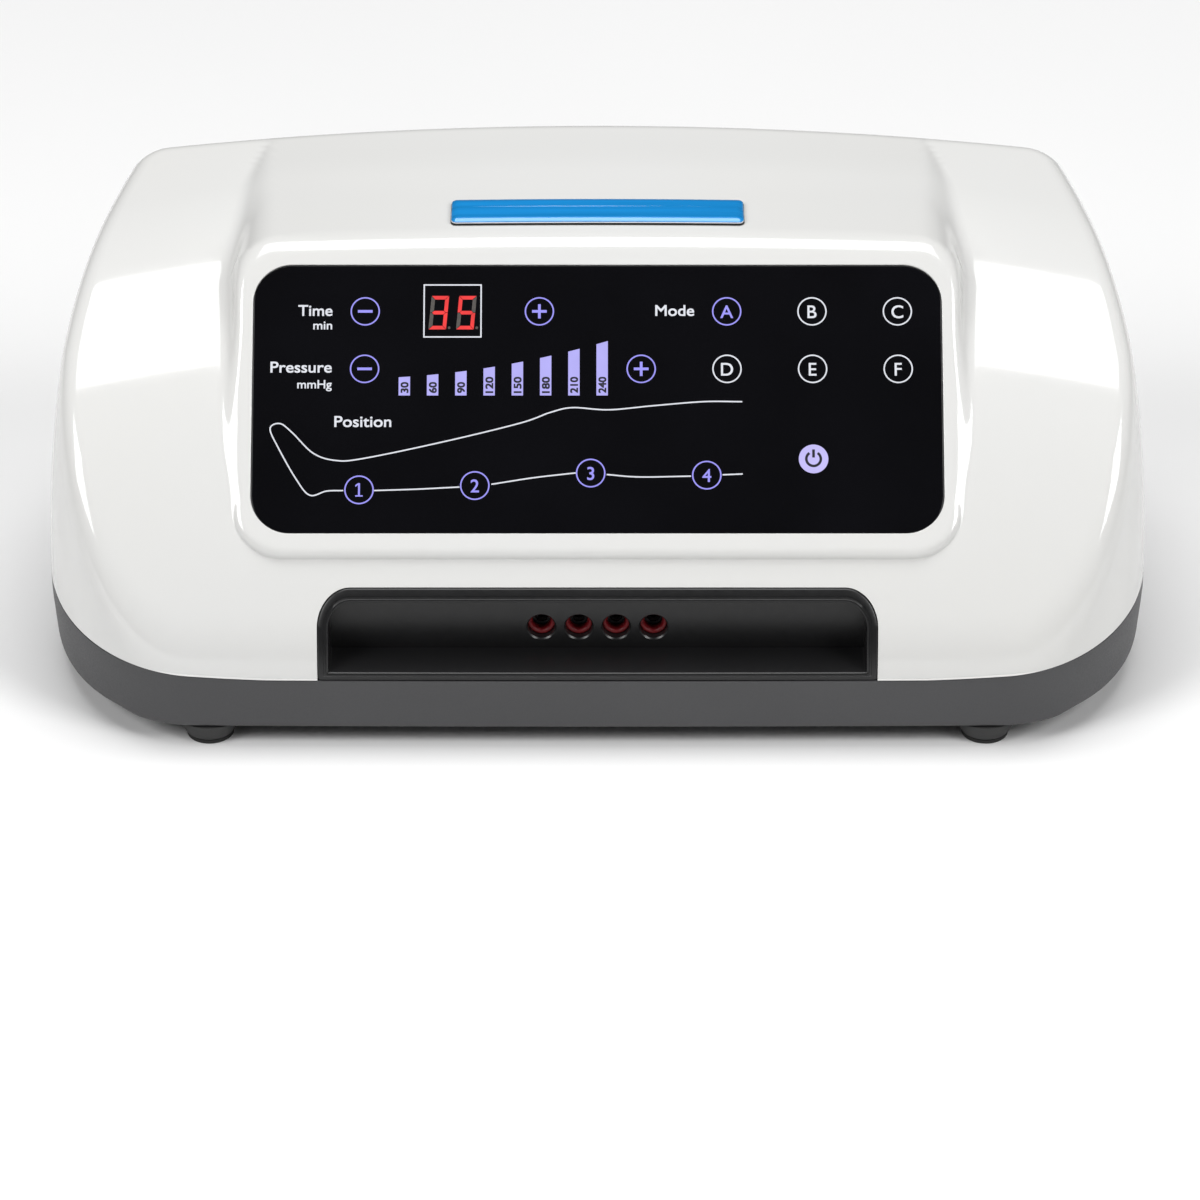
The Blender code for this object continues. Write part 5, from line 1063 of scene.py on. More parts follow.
def upper_skin(shape):
    """Rings round the upper housing's wall: outside, rim, inside, and the ledge for the glass."""
    case, glass = shape.case, shape.glass
    rim = PARTING + GAP / 2
    lip, seam = 0.0003, 0.0001
    opening = [
        shape.glass_ring(seam, 4 * lip),
        shape.glass_ring(seam, lip),
        shape.glass_ring(seam + 0.15 * lip, 0.5 * lip),
        shape.glass_ring(seam + 0.5 * lip, 0.15 * lip),
        shape.glass_ring(seam + lip, 0),
    ]
    offsets = np.linspace(0.3, 1, 9) * (glass.band_side + case.rim / 2)
    flat = np.array([shape.glass_ring(offset, 0) for offset in offsets])
    aimed = shape.aim(flat)
    band = shape.solve(np.broadcast_to(shape.star, aimed.shape), aimed, shape.outside)
    outer_rim = shape.plan_ring(rim, 0, 1)
    skin = shape.cover(band[-1], outer_rim, (18, 64, 14, 26), 0)
    over_tongue = shape.plan_ring(PARTING + TONGUE_RISE + GAP, case.wall, 1)
    inner_rim = shape.plan_ring(rim, case.wall, 1)
    pocket = glass.sink + glass.thickness + GAP
    under = pocket + glass.ledge_thickness
    root = shape.glass_ring(GAP * 10, case.wall)
    inside = shape.cover(root, over_tongue, (3, 12, 4, 5), case.wall)
    rings = [*opening, *band, *skin, inner_rim, over_tongue, *inside[-2::-1], root]
    rings[5 + len(band) + len(skin) - 1] = outer_rim
    rings += [
        shape.glass_ring(GAP * 10, under),
        shape.glass_ring(-glass.ledge, under),
        shape.glass_ring(-glass.ledge, pocket),
        shape.glass_ring(GAP, pocket),
    ]
    return grid(np.array(rings), closed_rows=True)


def base_skin(shape):
    """Rings from the middle of the underside out, up the wall, and back over the floor."""
    case = shape.case
    rim = PARTING - GAP / 2
    floor = UNDERSIDE + FLOOR_THICKNESS
    ramp_end = shape.half - GRIP_SIDE
    ramp_start = ramp_end - GRIP_RAMP

    def lifted(ring):
        ring[:, 2] += GRIP_RISE * fade(np.abs(ring[:, 0]), ramp_start, GRIP_RAMP)
        return ring

    def flat_ring(inset, limit, level):
        ring = shape.plan_ring(UNDERSIDE, inset)
        ring[:, 0] = np.clip(ring[:, 0], -limit, limit)
        ring[:, 2] = level
        return lifted(ring)

    wide = case.width
    reaches = np.linspace(RAMP_START_INSET, RAMP_END_INSET, 9)
    limits = np.linspace(ramp_start, ramp_end, 9)
    under = [flat_ring(*pair, UNDERSIDE) for pair in zip(reaches, limits)]
    under.append(flat_ring(BASE_EDGE * 1.15, wide, UNDERSIDE))
    turn = np.linspace(0, pi / 2, 7)
    for angle in turn:
        ring = shape.plan_ring(UNDERSIDE + BASE_EDGE * (1 - cos(angle)), BASE_EDGE * (1 - sin(angle)))
        under.append(lifted(ring))
    chamfer = GAP
    low = UNDERSIDE + 0.005
    wall = [shape.plan_ring(low + (rim - chamfer - low) * part, 0, part) for part in np.linspace(0, 1, 6)]
    wall.append(shape.plan_ring(rim, chamfer, 1))
    tongue_out = case.wall + GAP
    tongue_in = tongue_out + TONGUE_WALL
    crest = PARTING + TONGUE_RISE
    inside = [
        shape.plan_ring(rim, tongue_out, 1),
        shape.plan_ring(crest, tongue_out, 1),
        shape.plan_ring(crest, tongue_in, 1),
        shape.plan_ring(rim - TONGUE_WALL, tongue_in, 1),
        shape.plan_ring(rim - TONGUE_ROOT, case.wall, 1),
        lifted(shape.plan_ring(floor + BASE_EDGE / 2, case.wall)),
        flat_ring(case.wall + BASE_EDGE / 2, wide, floor),
    ]
    inside += [flat_ring(*pair, floor) for pair in zip(reaches[::-1], limits[::-1])]
    return grid(np.array(under + wall + inside), cap_first=True, cap_last=True)


GRIP_RISE = 0.0015
GRIP_RAMP = 0.011
GRIP_SIDE = 0.027
RAMP_START_INSET = 0.009
RAMP_END_INSET = 0.007
VENT_WIDTH = 0.003
VENT_LENGTH = 0.034
VENT_PITCH = 0.008
VENT_COUNT = 6


class PUMP_OT_upper_housing(Operator):
    """Makes the white upper housing with its hood, bay opening and screw posts"""

    bl_idname = "pump.upper_housing"
    bl_label = "Upper housing"

    def execute(self, context):
        shape = CaseShape()
        outlet = shape_outlet = settings("outlet")
        white = finish_of(gloss_white)
        shell = add_piece("upper_shell", upper_skin(shape), white)
        ring = bay_ring(0, 0, -OVERRUN, shape_outlet.corner)
        levels = (shape.front - OVERRUN, BEZEL_HIGH.y + OVERRUN)
        rows = [np.column_stack([ring[:, 0], np.full(len(ring), y), ring[:, 1]]) for y in levels]
        bay = grid(np.array(rows), cap_first=True, cap_last=True)
        cut_away(shell, joined([bay]))
        seats = fitting_seats(shape)
        cut_away(shell, joined([seats[0], seats[2]]))
        cut_away(shell, joined([seats[1], seats[3]]))
        settle_normals(shell.data, shape.outside)
        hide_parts("upper_housing")
        rim = PARTING + GAP / 2
        posts = []
        for x, y in screw_places():
            top = float(shape.height_at(x, y, shape.case.wall / 2))
            bore_top = PARTING + SCREW_BITE + GAP
            profile = [
                (SCREW_BORE, rim),
                (POST_RADIUS, rim),
                (POST_RADIUS, top - POST_RADIUS),
                (SCREW_BORE / 2, top - POST_RADIUS),
                (SCREW_BORE / 2, bore_top),
                (SCREW_BORE, bore_top),
            ]
            posts.append(turned(profile, (x, y, 0), steps=32))
        add_piece("screw_posts", joined(posts), white)
        return {"FINISHED"}


class PUMP_OT_lower_housing(Operator):
    """Makes the grey lower housing with its tongue, air slots, screw tubes and standoffs"""

    bl_idname = "pump.lower_housing"
    bl_label = "Lower housing"

    def execute(self, context):
        shape = CaseShape()
        grey = finish_of(etched_grey)
        base = add_piece("base_tray", base_skin(shape), grey)
        floor = UNDERSIDE + FLOOR_THICKNESS
        below, above = UNDERSIDE - OVERRUN, floor + OVERRUN
        cutters = []
        for x, y in screw_places():
            radius = SCREW_RECESS_RADIUS
            profile = [(radius, below), (radius, above)]
            cutters.append(turned(profile, (x, y, 0), steps=40, closed=False))
        for name in numbered("foot"):
            low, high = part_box(name)
            profile = [(FOOT_HOLE_RADIUS, below), (FOOT_HOLE_RADIUS, above)]
            place = ((low.x + high.x) / 2, (low.y + high.y) / 2, 0)
            cutters.append(turned(profile, place, steps=40, closed=False))
        frame_low, frame_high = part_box("pump_frame")
        middle_x = (frame_low.x + frame_high.x) / 2
        middle_y = (frame_low.y + frame_high.y) / 2
        for index in range(VENT_COUNT):
            x = middle_x + (index - (VENT_COUNT - 1) / 2) * VENT_PITCH
            half = VENT_WIDTH / 2
            steps = (2, 6, (8, 8, 8, 8))
            low, high = (x - half, middle_y - VENT_LENGTH / 2), (x + half, middle_y + VENT_LENGTH / 2)
            ring = rounded_outline(low, high, even(half * 0.98), steps)
            rows = [np.column_stack([ring, np.full(len(ring), z)]) for z in (below, above)]
            cutters.append(grid(np.array(rows), cap_first=True, cap_last=True))
        half = BEZEL_HIGH.x + 2 * GAP
        low = (-half, shape.front - OVERRUN, PARTING - GAP / 2)
        cutters.append(block(low, (half, PLATE_HIGH.y + GAP, PARTING + TONGUE_RISE + OVERRUN)))
        cut_away(base, joined(cutters))
        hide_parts("lower_housing")
        tubes = []
        for x, y in screw_places():
            profile = [
                (SCREW_RECESS_RADIUS, floor - FLOOR_THICKNESS / 2),
                (TUBE_RADIUS, floor - FLOOR_THICKNESS / 2),
                (TUBE_RADIUS, PARTING - GAP / 2),
                (SCREW_BORE, PARTING - GAP / 2),
                (SCREW_BORE, UNDERSIDE + SCREW_RECESS),
                (SCREW_RECESS_RADIUS, UNDERSIDE + SCREW_RECESS),
            ]
            tubes.append(turned(profile, (x, y, 0), steps=40))
        for x, y, top in standoff_places():
            profile = [(STANDOFF_RADIUS, floor - FLOOR_THICKNESS / 2), (STANDOFF_RADIUS, top)]
            tubes.append(turned(profile, (x, y, 0), steps=24, closed=False))
        add_piece("base_supports", joined(tubes), grey)
        return {"FINISHED"}


FOOT_HOLE_RADIUS = 0.0035
STANDOFF_RADIUS = 0.004
STANDOFF_INSET = 0.006


def standoff_places():
    """Standoffs under the manifold, the valve block and the board, with their heights."""
    for name, inset in (("outlet_manifold", 0.0094), ("valve_block", 0.011)):
        low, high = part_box(name)
        middle = (low.y + high.y) / 2
        if name == "valve_block":
            plunger_low, plunger_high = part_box("valve_plunger_1")
            middle = (plunger_low.y + plunger_high.y) / 2
            coil_low, coil_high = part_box("solenoid_coil_1")
            reach = -(coil_low.x + coil_high.x) / 2
        else:
            reach = high.x - inset
        for side in (-1, 1):
            yield side * reach, middle, low.z - GAP
    low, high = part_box("main_board")
    for x in (low.x + STANDOFF_INSET, high.x - STANDOFF_INSET):
        for y in (low.y + STANDOFF_INSET, high.y - STANDOFF_INSET):
            yield x, y, UNDERSIDE + FLOOR_THICKNESS + STANDOFF_HEIGHT


STANDOFF_HEIGHT = 0.006


# The panel: glass, and everything printed or lit on it.


class PUMP_OT_touch_glass(Operator):
    """Makes the black touch glass with its ground edge"""

    bl_idname = "pump.touch_glass"
    bl_label = "Touch glass"

    def execute(self, context):
        shape = CaseShape()
        glass = shape.glass
        edge = 0.0004
        turn = np.linspace(0, pi / 2, 6)
        rings = [shape.glass_ring(-0.004, glass.sink)]
        for angle in turn:
            inset, depth = edge * (1 - sin(angle)), edge * (1 - cos(angle))
            rings.append(shape.glass_ring(-inset, glass.sink + depth))
        rings.insert(1, shape.glass_ring(-edge * 1.3, glass.sink))
        rings.append(shape.glass_ring(0, glass.sink + glass.thickness))
        skin = grid(np.array(rings), cap_first=True, cap_last=True)
        piece = add_piece("touch_glass", skin, finish_of(black_glass))
        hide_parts("control_panel")
        return {"FINISHED"}


MM = 0.001
RING_ROWS = {"upper": 82.09, "lower": 60.68}
SIGN_KEYS = (
    ("minus", -83.77, "upper"),
    ("plus", -20.96, "upper"),
    ("minus", -83.8, "lower"),
    ("plus", 15.72, "lower"),
)
MODE_KEYS = (
    ("A", 46.6, "upper"),
    ("B", 77.35, "upper"),
    ("C", 108.15, "upper"),
    ("D", 46.6, "lower"),
    ("E", 77.4, "lower"),
    ("F", 108.2, "lower"),
)
CHAMBER_KEYS = (("1", -85.37, 15.96), ("2", -43.93, 17.54), ("3", -2.44, 22.14), ("4", 39.15, 21.37))
POWER_KEY = (77.45, 27.35)
DISPLAY_LOW = (-62.8, 72.3)
DISPLAY_HIGH = (-41.75, 92.2)
LABELS = (
    ("Time", "RIGHT", -95.65, 80.45, "large", 12.2),
    ("min", "RIGHT", -95.7, 75.4, "small", 6.7),
    ("Pressure", "RIGHT", -95.7, 59.35, "large", 21.9),
    ("mmHg", "RIGHT", -95.6, 53.45, "small", 12.3),
    ("Mode", "LEFT", 20.9, 80.45, "large", 13.9),
    ("Position", "LEFT", -94.4, 39.2, "large", 20.3),
)


def flat_ring(centre, radius, stroke, first=0.0, sweep=2 * pi, steps=72):
    """A ring or arc of a stroke: centre + (radius ± half stroke) (cos a, sin a), as (u, v)."""
    whole = sweep > 2 * pi - 0.001
    angle = first + np.linspace(0, sweep, steps + 1)[: steps if whole else steps + 1]
    around = np.stack([np.cos(angle), np.sin(angle)], axis=-1)
    radii = np.array([radius + stroke / 2, radius - stroke / 2])[:, None, None]
    return np.asarray(centre, float) + radii * around[None], whole


def print_skin(shape, flat, closed_columns, layer):
    """A skin laid on the glass from an array of (u, v) points."""
    depth = shape.glass.sink - layer
    points = shape.on_panel(flat[..., 0], flat[..., 1], depth)
    return grid(points, closed_columns=closed_columns)


def flat_face(shape, outline, layer):
    """One flat face laid on the glass, its outline anticlockwise in (u, v)."""
    outline = np.asarray(outline, float)
    points = shape.on_panel(outline[:, 0], outline[:, 1], shape.glass.sink - layer)
    return Skin(points, None, [np.arange(len(points))])


def bar(centre, half_u, half_v):
    u, v = centre
    return [
        (u - half_u, v - half_v),
        (u + half_u, v - half_v),
        (u + half_u, v + half_v),
        (u - half_u, v + half_v),
    ]


def lettering(text):
    """The flat shape of a word at size 1: its (u, v) points, and its faces as index arrays."""
    curve = bpy.data.curves.new("lettering", "FONT")
    curve.body = text
    curve.resolution_u = 6
    holder = bpy.data.objects.new("lettering", curve)
    bpy.context.scene.collection.objects.link(holder)
    graph = bpy.context.evaluated_depsgraph_get()
    mesh = bpy.data.meshes.new_from_object(holder.evaluated_get(graph))
    points = np.empty(len(mesh.vertices) * 3, np.float32)
    mesh.vertices.foreach_get("co", points)
    corners = np.empty(len(mesh.loops), np.int32)
    mesh.loops.foreach_get("vertex_index", corners)
    starts = np.empty(len(mesh.polygons), np.int32)
    mesh.polygons.foreach_get("loop_start", starts)
    faces = np.split(corners, starts[1:])
    bpy.data.objects.remove(holder)
    bpy.data.curves.remove(curve)
    bpy.data.meshes.remove(mesh)
    return points.reshape(-1, 3)[:, :2].astype(float), faces


CAPITAL = 0.729
COPY_STEP = 0.000002


def word_skin(shape, text, align, u, v, height, width=None, layer=0.0, turned_up=False, weight=0.018):
    """A word on the glass: its foot at (u, v), its capitals this high, its length set if given.

    Four copies, moved by ± weight x height both ways, thicken its strokes.
    """
    points, faces = lettering(text)
    scale = height / CAPITAL
    low, high = points.min(axis=0), points.max(axis=0)
    stretch = scale if width is None else width / (high[0] - low[0])
    start = {"LEFT": low[0], "RIGHT": high[0], "CENTER": (low[0] + high[0]) / 2}[align]
    flat = np.stack([(points[:, 0] - start) * stretch, points[:, 1] * scale], axis=-1)
    if turned_up:
        flat = np.stack([-flat[:, 1], flat[:, 0]], axis=-1)
    flat = flat + (u, v)
    copies = []
    for side_u, side_v in ((-1, -1), (1, -1), (1, 1), (-1, 1)):
        moved = flat + weight * height * np.array((side_u, side_v))
        depth = shape.glass.sink - layer - COPY_STEP * len(copies)
        copies.append(Skin(shape.on_panel(moved[:, 0], moved[:, 1], depth), None, faces))
    return joined(copies)


def add_print(name, skins, finish):
    piece = add_piece(name, joined(skins), finish, closed=False)
    return piece


def plain_one(shape, foot, marks):
    """The figure 1 from three flat shapes, all in shares of its height: stem, foot and flag."""
    height = marks.letter
    stem = ((-0.07, 0.1), (0.07, 0.1), (0.07, 1.0), (-0.07, 1.0))
    sill = ((-0.27, 0.0), (0.27, 0.0), (0.27, 0.1), (-0.27, 0.1))
    flag = ((-0.07, 0.86), (-0.07, 1.0), (-0.27, 0.86), (-0.27, 0.72))
    outlines = [np.array(part) * height + foot for part in (stem, sill, flag)]
    return [flat_face(shape, outline, marks.layer) for outline in outlines]


def key_skins(shape, marks, centre, sign):
    """A touch ring with a sign, a letter or a number in it."""
    flat, whole = flat_ring(centre, marks.ring, marks.stroke)
    skins = [print_skin(shape, flat, whole, marks.layer)]
    if sign in ("minus", "plus"):
        skins.append(flat_face(shape, bar(centre, marks.sign / 2, marks.sign_stroke / 2), marks.layer))
        if sign == "plus":
            reach = (marks.sign - marks.sign_stroke) / 4
            for side in (-1, 1):
                place = (centre[0], centre[1] + side * (marks.sign_stroke / 2 + reach))
                skins.append(flat_face(shape, bar(place, marks.sign_stroke / 2, reach), marks.layer))
        return skins
    foot = centre[1] - marks.letter / 2
    if sign == "1":
        return skins + plain_one(shape, (centre[0], foot), marks)
    word = word_skin(shape, sign, "CENTER", centre[0], foot, marks.letter, layer=marks.layer, weight=0.01)
    return skins + [word]


class PUMP_OT_touch_keys(Operator):
    """Makes the lit and printed touch rings with their signs, letters and numbers"""

    bl_idname = "pump.touch_keys"
    bl_label = "Touch keys"

    def execute(self, context):
        shape, marks = CaseShape(), settings("marks")
        lit, plain = [], []
        for sign, u, row in SIGN_KEYS:
            lit += key_skins(shape, marks, (u * MM, RING_ROWS[row] * MM), sign)
        for letter, u, row in MODE_KEYS:
            group = lit if letter == "A" else plain
            group += key_skins(shape, marks, (u * MM, RING_ROWS[row] * MM), letter)
        for number, u, v in CHAMBER_KEYS:
            lit += key_skins(shape, marks, (u * MM, v * MM), number)
        add_print("keys_lit", lit, finish_of(lit_lilac))
        add_print("keys_plain", plain, finish_of(white_print))
        centre = np.array(POWER_KEY) * MM
        angle = np.linspace(0, 2 * pi, 72, endpoint=False)
        disc = centre + 0.0053 * np.stack([np.cos(angle), np.sin(angle)], axis=-1)
        power = flat_face(shape, disc, marks.layer)
        add_print("power_key", [power], finish_of(lit_lilac_pale))
        arc, _ = flat_ring(centre, 0.0026, 0.00095, radians(90 + 34), radians(360 - 68), 40)
        stem = bar((centre[0], centre[1] + 0.002), 0.00048, 0.0015)
        over = 2 * marks.layer
        symbol = [print_skin(shape, arc, False, over), flat_face(shape, stem, over)]
        add_print("power_symbol", symbol, finish_of(black_print))
        return {"FINISHED"}


class PUMP_OT_labels(Operator):
    """Makes the printed words beside the keys"""

    bl_idname = "pump.labels"
    bl_label = "Labels"

    def execute(self, context):
        shape, marks = CaseShape(), settings("marks")
        heights = {"large": marks.label, "small": marks.small_label}
        words = []
        for text, align, u, v, kind, width in LABELS:
            place = (u * MM, v * MM, heights[kind], width * MM, marks.layer)
            words.append(word_skin(shape, text, align, *place))
        add_print("labels", words, finish_of(white_print))
        return {"FINISHED"}


BAR_START = -71.5
BAR_PITCH = 10.16
BAR_WIDTH = 4.1
BAR_FOOT = 50.8
BAR_STEP = 30


def bar_height(index):
    """Millimetres of a bar's top over its foot: 6.75 + 0.6 k + 0.165 k^2."""
    return 6.75 + 0.6 * index + 0.165 * index**2


class PUMP_OT_pressure_bars(Operator):
    """Makes the eight lit pressure bars with their numbers"""

    bl_idname = "pump.pressure_bars"
    bl_label = "Pressure bars"

    def execute(self, context):
        shape, marks = CaseShape(), settings("marks")
        bars, numbers = [], []
        for index in range(8):
            left = BAR_START + index * BAR_PITCH
            right = left + BAR_WIDTH
            tops = [BAR_FOOT + bar_height(index + part) for part in (0, BAR_WIDTH / BAR_PITCH)]
            outline = np.array([(left, BAR_FOOT), (right, BAR_FOOT), (right, tops[1]), (left, tops[0])])
            bars.append(flat_face(shape, outline * MM, marks.layer))
            place = ((left + right + 2.75) / 2 * MM, (BAR_FOOT + 1.0) * MM, 2.75 * MM)
            text = str(BAR_STEP * (index + 1))
            length_of = 1.93 * len(text) * MM
            over = 2 * marks.layer
            numbers.append(word_skin(shape, text, "LEFT", *place, length_of, over, True, 0.045))
        add_print("pressure_bars", bars, finish_of(lit_bars))
        add_print("bar_numbers", numbers, finish_of(black_print))
        return {"FINISHED"}


SEGMENTS = {
    "top": ((0, 2), (1, 2)),
    "upper left": ((0, 1), (0, 2)),
    "upper right": ((1, 1), (1, 2)),
    "middle": ((0, 1), (1, 1)),
    "lower left": ((0, 0), (0, 1)),
    "lower right": ((1, 0), (1, 1)),
    "foot": ((0, 0), (1, 0)),
}
SEGMENTS_LIT = {
    0: "top,upper left,upper right,lower left,lower right,foot",
    1: "upper right,lower right",
    2: "top,upper right,middle,lower left,foot",
    3: "top,upper right,middle,lower right,foot",
    4: "upper left,upper right,middle,lower right",
    5: "top,upper left,middle,lower right,foot",
    6: "top,upper left,middle,lower left,lower right,foot",
    7: "top,upper right,lower right",
    8: "top,upper left,upper right,middle,lower left,lower right,foot",
    9: "top,upper left,upper right,middle,lower right,foot",
}
DIGIT_STROKE = 1.35
DIGIT_SLANT = tan(radians(5))
DIGIT_STARTS = (-60.95, -51.0)
DIGIT_FOOT = 75.35
DIGIT_WIDTH = 6.35
SEGMENT_GAP = 0.1


def segment_outline(name, start, height):
    """A mitred bar between two joints of the digit, slanted: u + v tan(slant).

    Its outer side runs on to the digit's corners, and its inner side stops short of them.
    """
    (i0, j0), (i1, j1) = SEGMENTS[name]
    half = DIGIT_STROKE / 2
    joint_u = (half, DIGIT_WIDTH - half)
    joint_v = (half, height / 2, height - half)
    first = np.array([joint_u[i0], joint_v[j0]])
    last = np.array([joint_u[i1], joint_v[j1]])
    along = (last - first) / np.linalg.norm(last - first)
    aside = np.array([-along[1], along[0]])
    centre = np.array([DIGIT_WIDTH, height]) / 2
    outer = np.sign(np.round(aside @ (first + last - 2 * centre), 6))

    def end(joint, toward, level):
        """One end: the corner on the left of the bar's run, its tip, and the corner on the right."""
        spots = [joint + toward * SEGMENT_GAP]
        for side in (1, -1):
            outward = side == outer
            neck = half if not outward else (0 if level == 1 else -half)
            spots.append(joint + toward * (neck + SEGMENT_GAP) + aside * half * side)
        return spots[1], spots[0], spots[2]

    left, tip, right = end(first, along, j0)
    far_left, far_tip, far_right = end(last, -along, j1)
    ring = np.array([tip, right, far_right, far_tip, far_left, left])
    ring[:, 0] += ring[:, 1] * DIGIT_SLANT
    return (ring + (start, DIGIT_FOOT)) * MM


class PUMP_OT_digits(Operator):
    """Makes the two red digits, their dark segments and the window's frame"""

    bl_idname = "pump.digits"
    bl_label = "Digits"

    def execute(self, context):
        shape, marks = CaseShape(), settings("marks")
        lit, dark = [], []
        height = marks.digit / MM
        for start, number in zip(DIGIT_STARTS, divmod(marks.minutes, 10)):
            shown = SEGMENTS_LIT[number].split(",")
            for name in SEGMENTS:
                face = flat_face(shape, segment_outline(name, start, height), marks.layer)
                (lit if name in shown else dark).append(face)
            centre = np.array([start + DIGIT_WIDTH + 1.1, DIGIT_FOOT + 0.62]) * MM
            angle = np.linspace(0, 2 * pi, 20, endpoint=False)
            spot = centre + 0.5 * MM * np.stack([np.cos(angle), np.sin(angle)], axis=-1)
            dark.append(flat_face(shape, spot, marks.layer))
        add_print("digits_lit", lit, finish_of(red_segment))
        add_print("digits_dark", dark, finish_of(dark_segment))
        line = 0.5
        outer = rounded_outline(DISPLAY_LOW, DISPLAY_HIGH, even(0.15), (2, 2, (3, 3, 3, 3)))
        low = (DISPLAY_LOW[0] + line, DISPLAY_LOW[1] + line)
        high = (DISPLAY_HIGH[0] - line, DISPLAY_HIGH[1] - line)
        inner = rounded_outline(low, high, even(0.1), (2, 2, (3, 3, 3, 3)))
        window = print_skin(shape, np.array([outer, inner]) * MM, True, marks.layer)
        add_print("display_frame", [window], finish_of(white_print))
        return {"FINISHED"}


LIMB_ROUTES = (
    (
        (52, 48.5),
        (38, 48.5),
        (20, 47),
        (4, 45.5),
        (-9, 46.3),
        (-17, 44.5),
        (-28, 40.5),
        (-56, 33.5),
        (-84, 27.5),
        (-94, 26.8),
        (-102, 29.5),
        (-109.5, 37),
        (-114, 40.4),
        (-117.5, 38.5),
        (-114.5, 31.5),
        (-108, 20),
        (-103, 14),
        (-97, 15.5),
        (-91, 15.7),
    ),
    ((-80, 15.7), (-65, 16.2), (-49.4, 17)),
    ((-38, 18), (-23, 20.4), (-7.8, 22.2)),
    ((3.3, 21.6), (15, 20.7), (33.5, 21)),
    ((44.8, 21.5), (52, 21.8)),
)


def smooth_route(points, steps=14):
    """A curve through points: on each span a cubic whose slopes are half the neighbours' chord."""
    points = np.array(points, float)
    padded = np.concatenate([[2 * points[0] - points[1]], points, [2 * points[-1] - points[-2]]])
    p0, p1, p2, p3 = padded[:-3], padded[1:-2], padded[2:-1], padded[3:]
    t = (np.arange(steps) / steps)[None, :, None]
    a, b, c, d = (p[:, None, :] for p in (p0, p1, p2, p3))
    spans = 0.5 * (
        2 * b + (c - a) * t + (2 * a - 5 * b + 4 * c - d) * t**2 + (3 * b - a - 3 * c + d) * t**3
    )
    return np.concatenate([spans.reshape(-1, 2), points[-1:]])


def ribbon(route, width):
    """Both edges of a line: route ± half its width along the route's left-hand normal."""
    ahead = np.gradient(route, axis=0)
    ahead /= np.linalg.norm(ahead, axis=1)[:, None]
    aside = np.stack([-ahead[:, 1], ahead[:, 0]], axis=-1) * width / 2
    return np.array([route - aside, route + aside])


class PUMP_OT_limb_line(Operator):
    """Makes the printed line of a resting limb, which runs through the four chamber keys"""

    bl_idname = "pump.limb_line"
    bl_label = "Limb line"

    def execute(self, context):
        shape, marks = CaseShape(), settings("marks")
        lines = []
        for route in LIMB_ROUTES:
            flat = ribbon(smooth_route(np.array(route) * MM), marks.line)
            lines.append(print_skin(shape, flat, False, marks.layer))
        add_print("limb_line", lines, finish_of(white_print))
        return {"FINISHED"}


# Nameplate, outlet bay and its fittings.


def tag_grid(shape, inset, columns=49, rows=17):
    """Plan points of the nameplate's outline, a rounded rectangle moved in by an inset; the caller fills the plate
    with rings of growing insets.
    """
    half = TAG_HIGH.x - inset
    low, high = (-half, TAG_LOW.y + inset), (half, TAG_HIGH.y - inset)
    return rounded_outline(low, high, even(max(0.0022 - inset, 0.0003)), (40, 10, (8, 8, 8, 8)))


class PUMP_OT_nameplate(Operator):
    """Makes the domed blue nameplate, its white edge and its black backing, all left bare"""

    bl_idname = "pump.nameplate"
    bl_label = "Nameplate"

    def execute(self, context):
        shape = CaseShape()
        ring = tag_grid(shape, 0)
        centre = np.array([0, (TAG_LOW.y + TAG_HIGH.y) / 2])

        def layer(inset, rise):
            flat = tag_grid(shape, inset)
            z = shape.height_at(flat[:, 0], flat[:, 1]) + rise
            return np.column_stack([flat, z])

        backing = [layer(0.0005, 0.0001), layer(0, 0.0002), layer(0, 0.0007), layer(0.0005, 0.0008)]
        skin = grid(np.array(backing), cap_first=True, cap_last=True)
        piece = add_piece("nameplate_backing", skin, finish_of(tag_backing))
        edge = [layer(0.0004, 0.0008), layer(0.0002, 0.00085), layer(0.0002, 0.0011), layer(0.0004, 0.00115)]
        skin = grid(np.array(edge), cap_first=True, cap_last=True)
        piece = add_piece("nameplate_edge", skin, finish_of(tag_white))
        size = (TAG_HIGH.y - TAG_LOW.y) / 2
        parts = np.concatenate([np.linspace(0, 0.14, 12), np.linspace(0.14, 1, 14)[1:-1]])
        rings = [layer(0.0004, 0.00115), layer(0.0003, 0.0014)]
        for part in parts:
            flat = tag_grid(shape, 0.0003 + part * (size - 0.0012))
            z = shape.height_at(flat[:, 0], flat[:, 1])
            dome = 0.0015 + 0.00095 * (1 - (1 - min(part / 0.6, 1)) ** 3)
            rings.append(np.column_stack([flat, z + dome]))
        skin = grid(np.array(rings), cap_first=True, cap_last=True)
        piece = add_piece("nameplate_dome", skin, finish_of(domed_blue))
        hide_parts("nameplate")
        return {"FINISHED"}


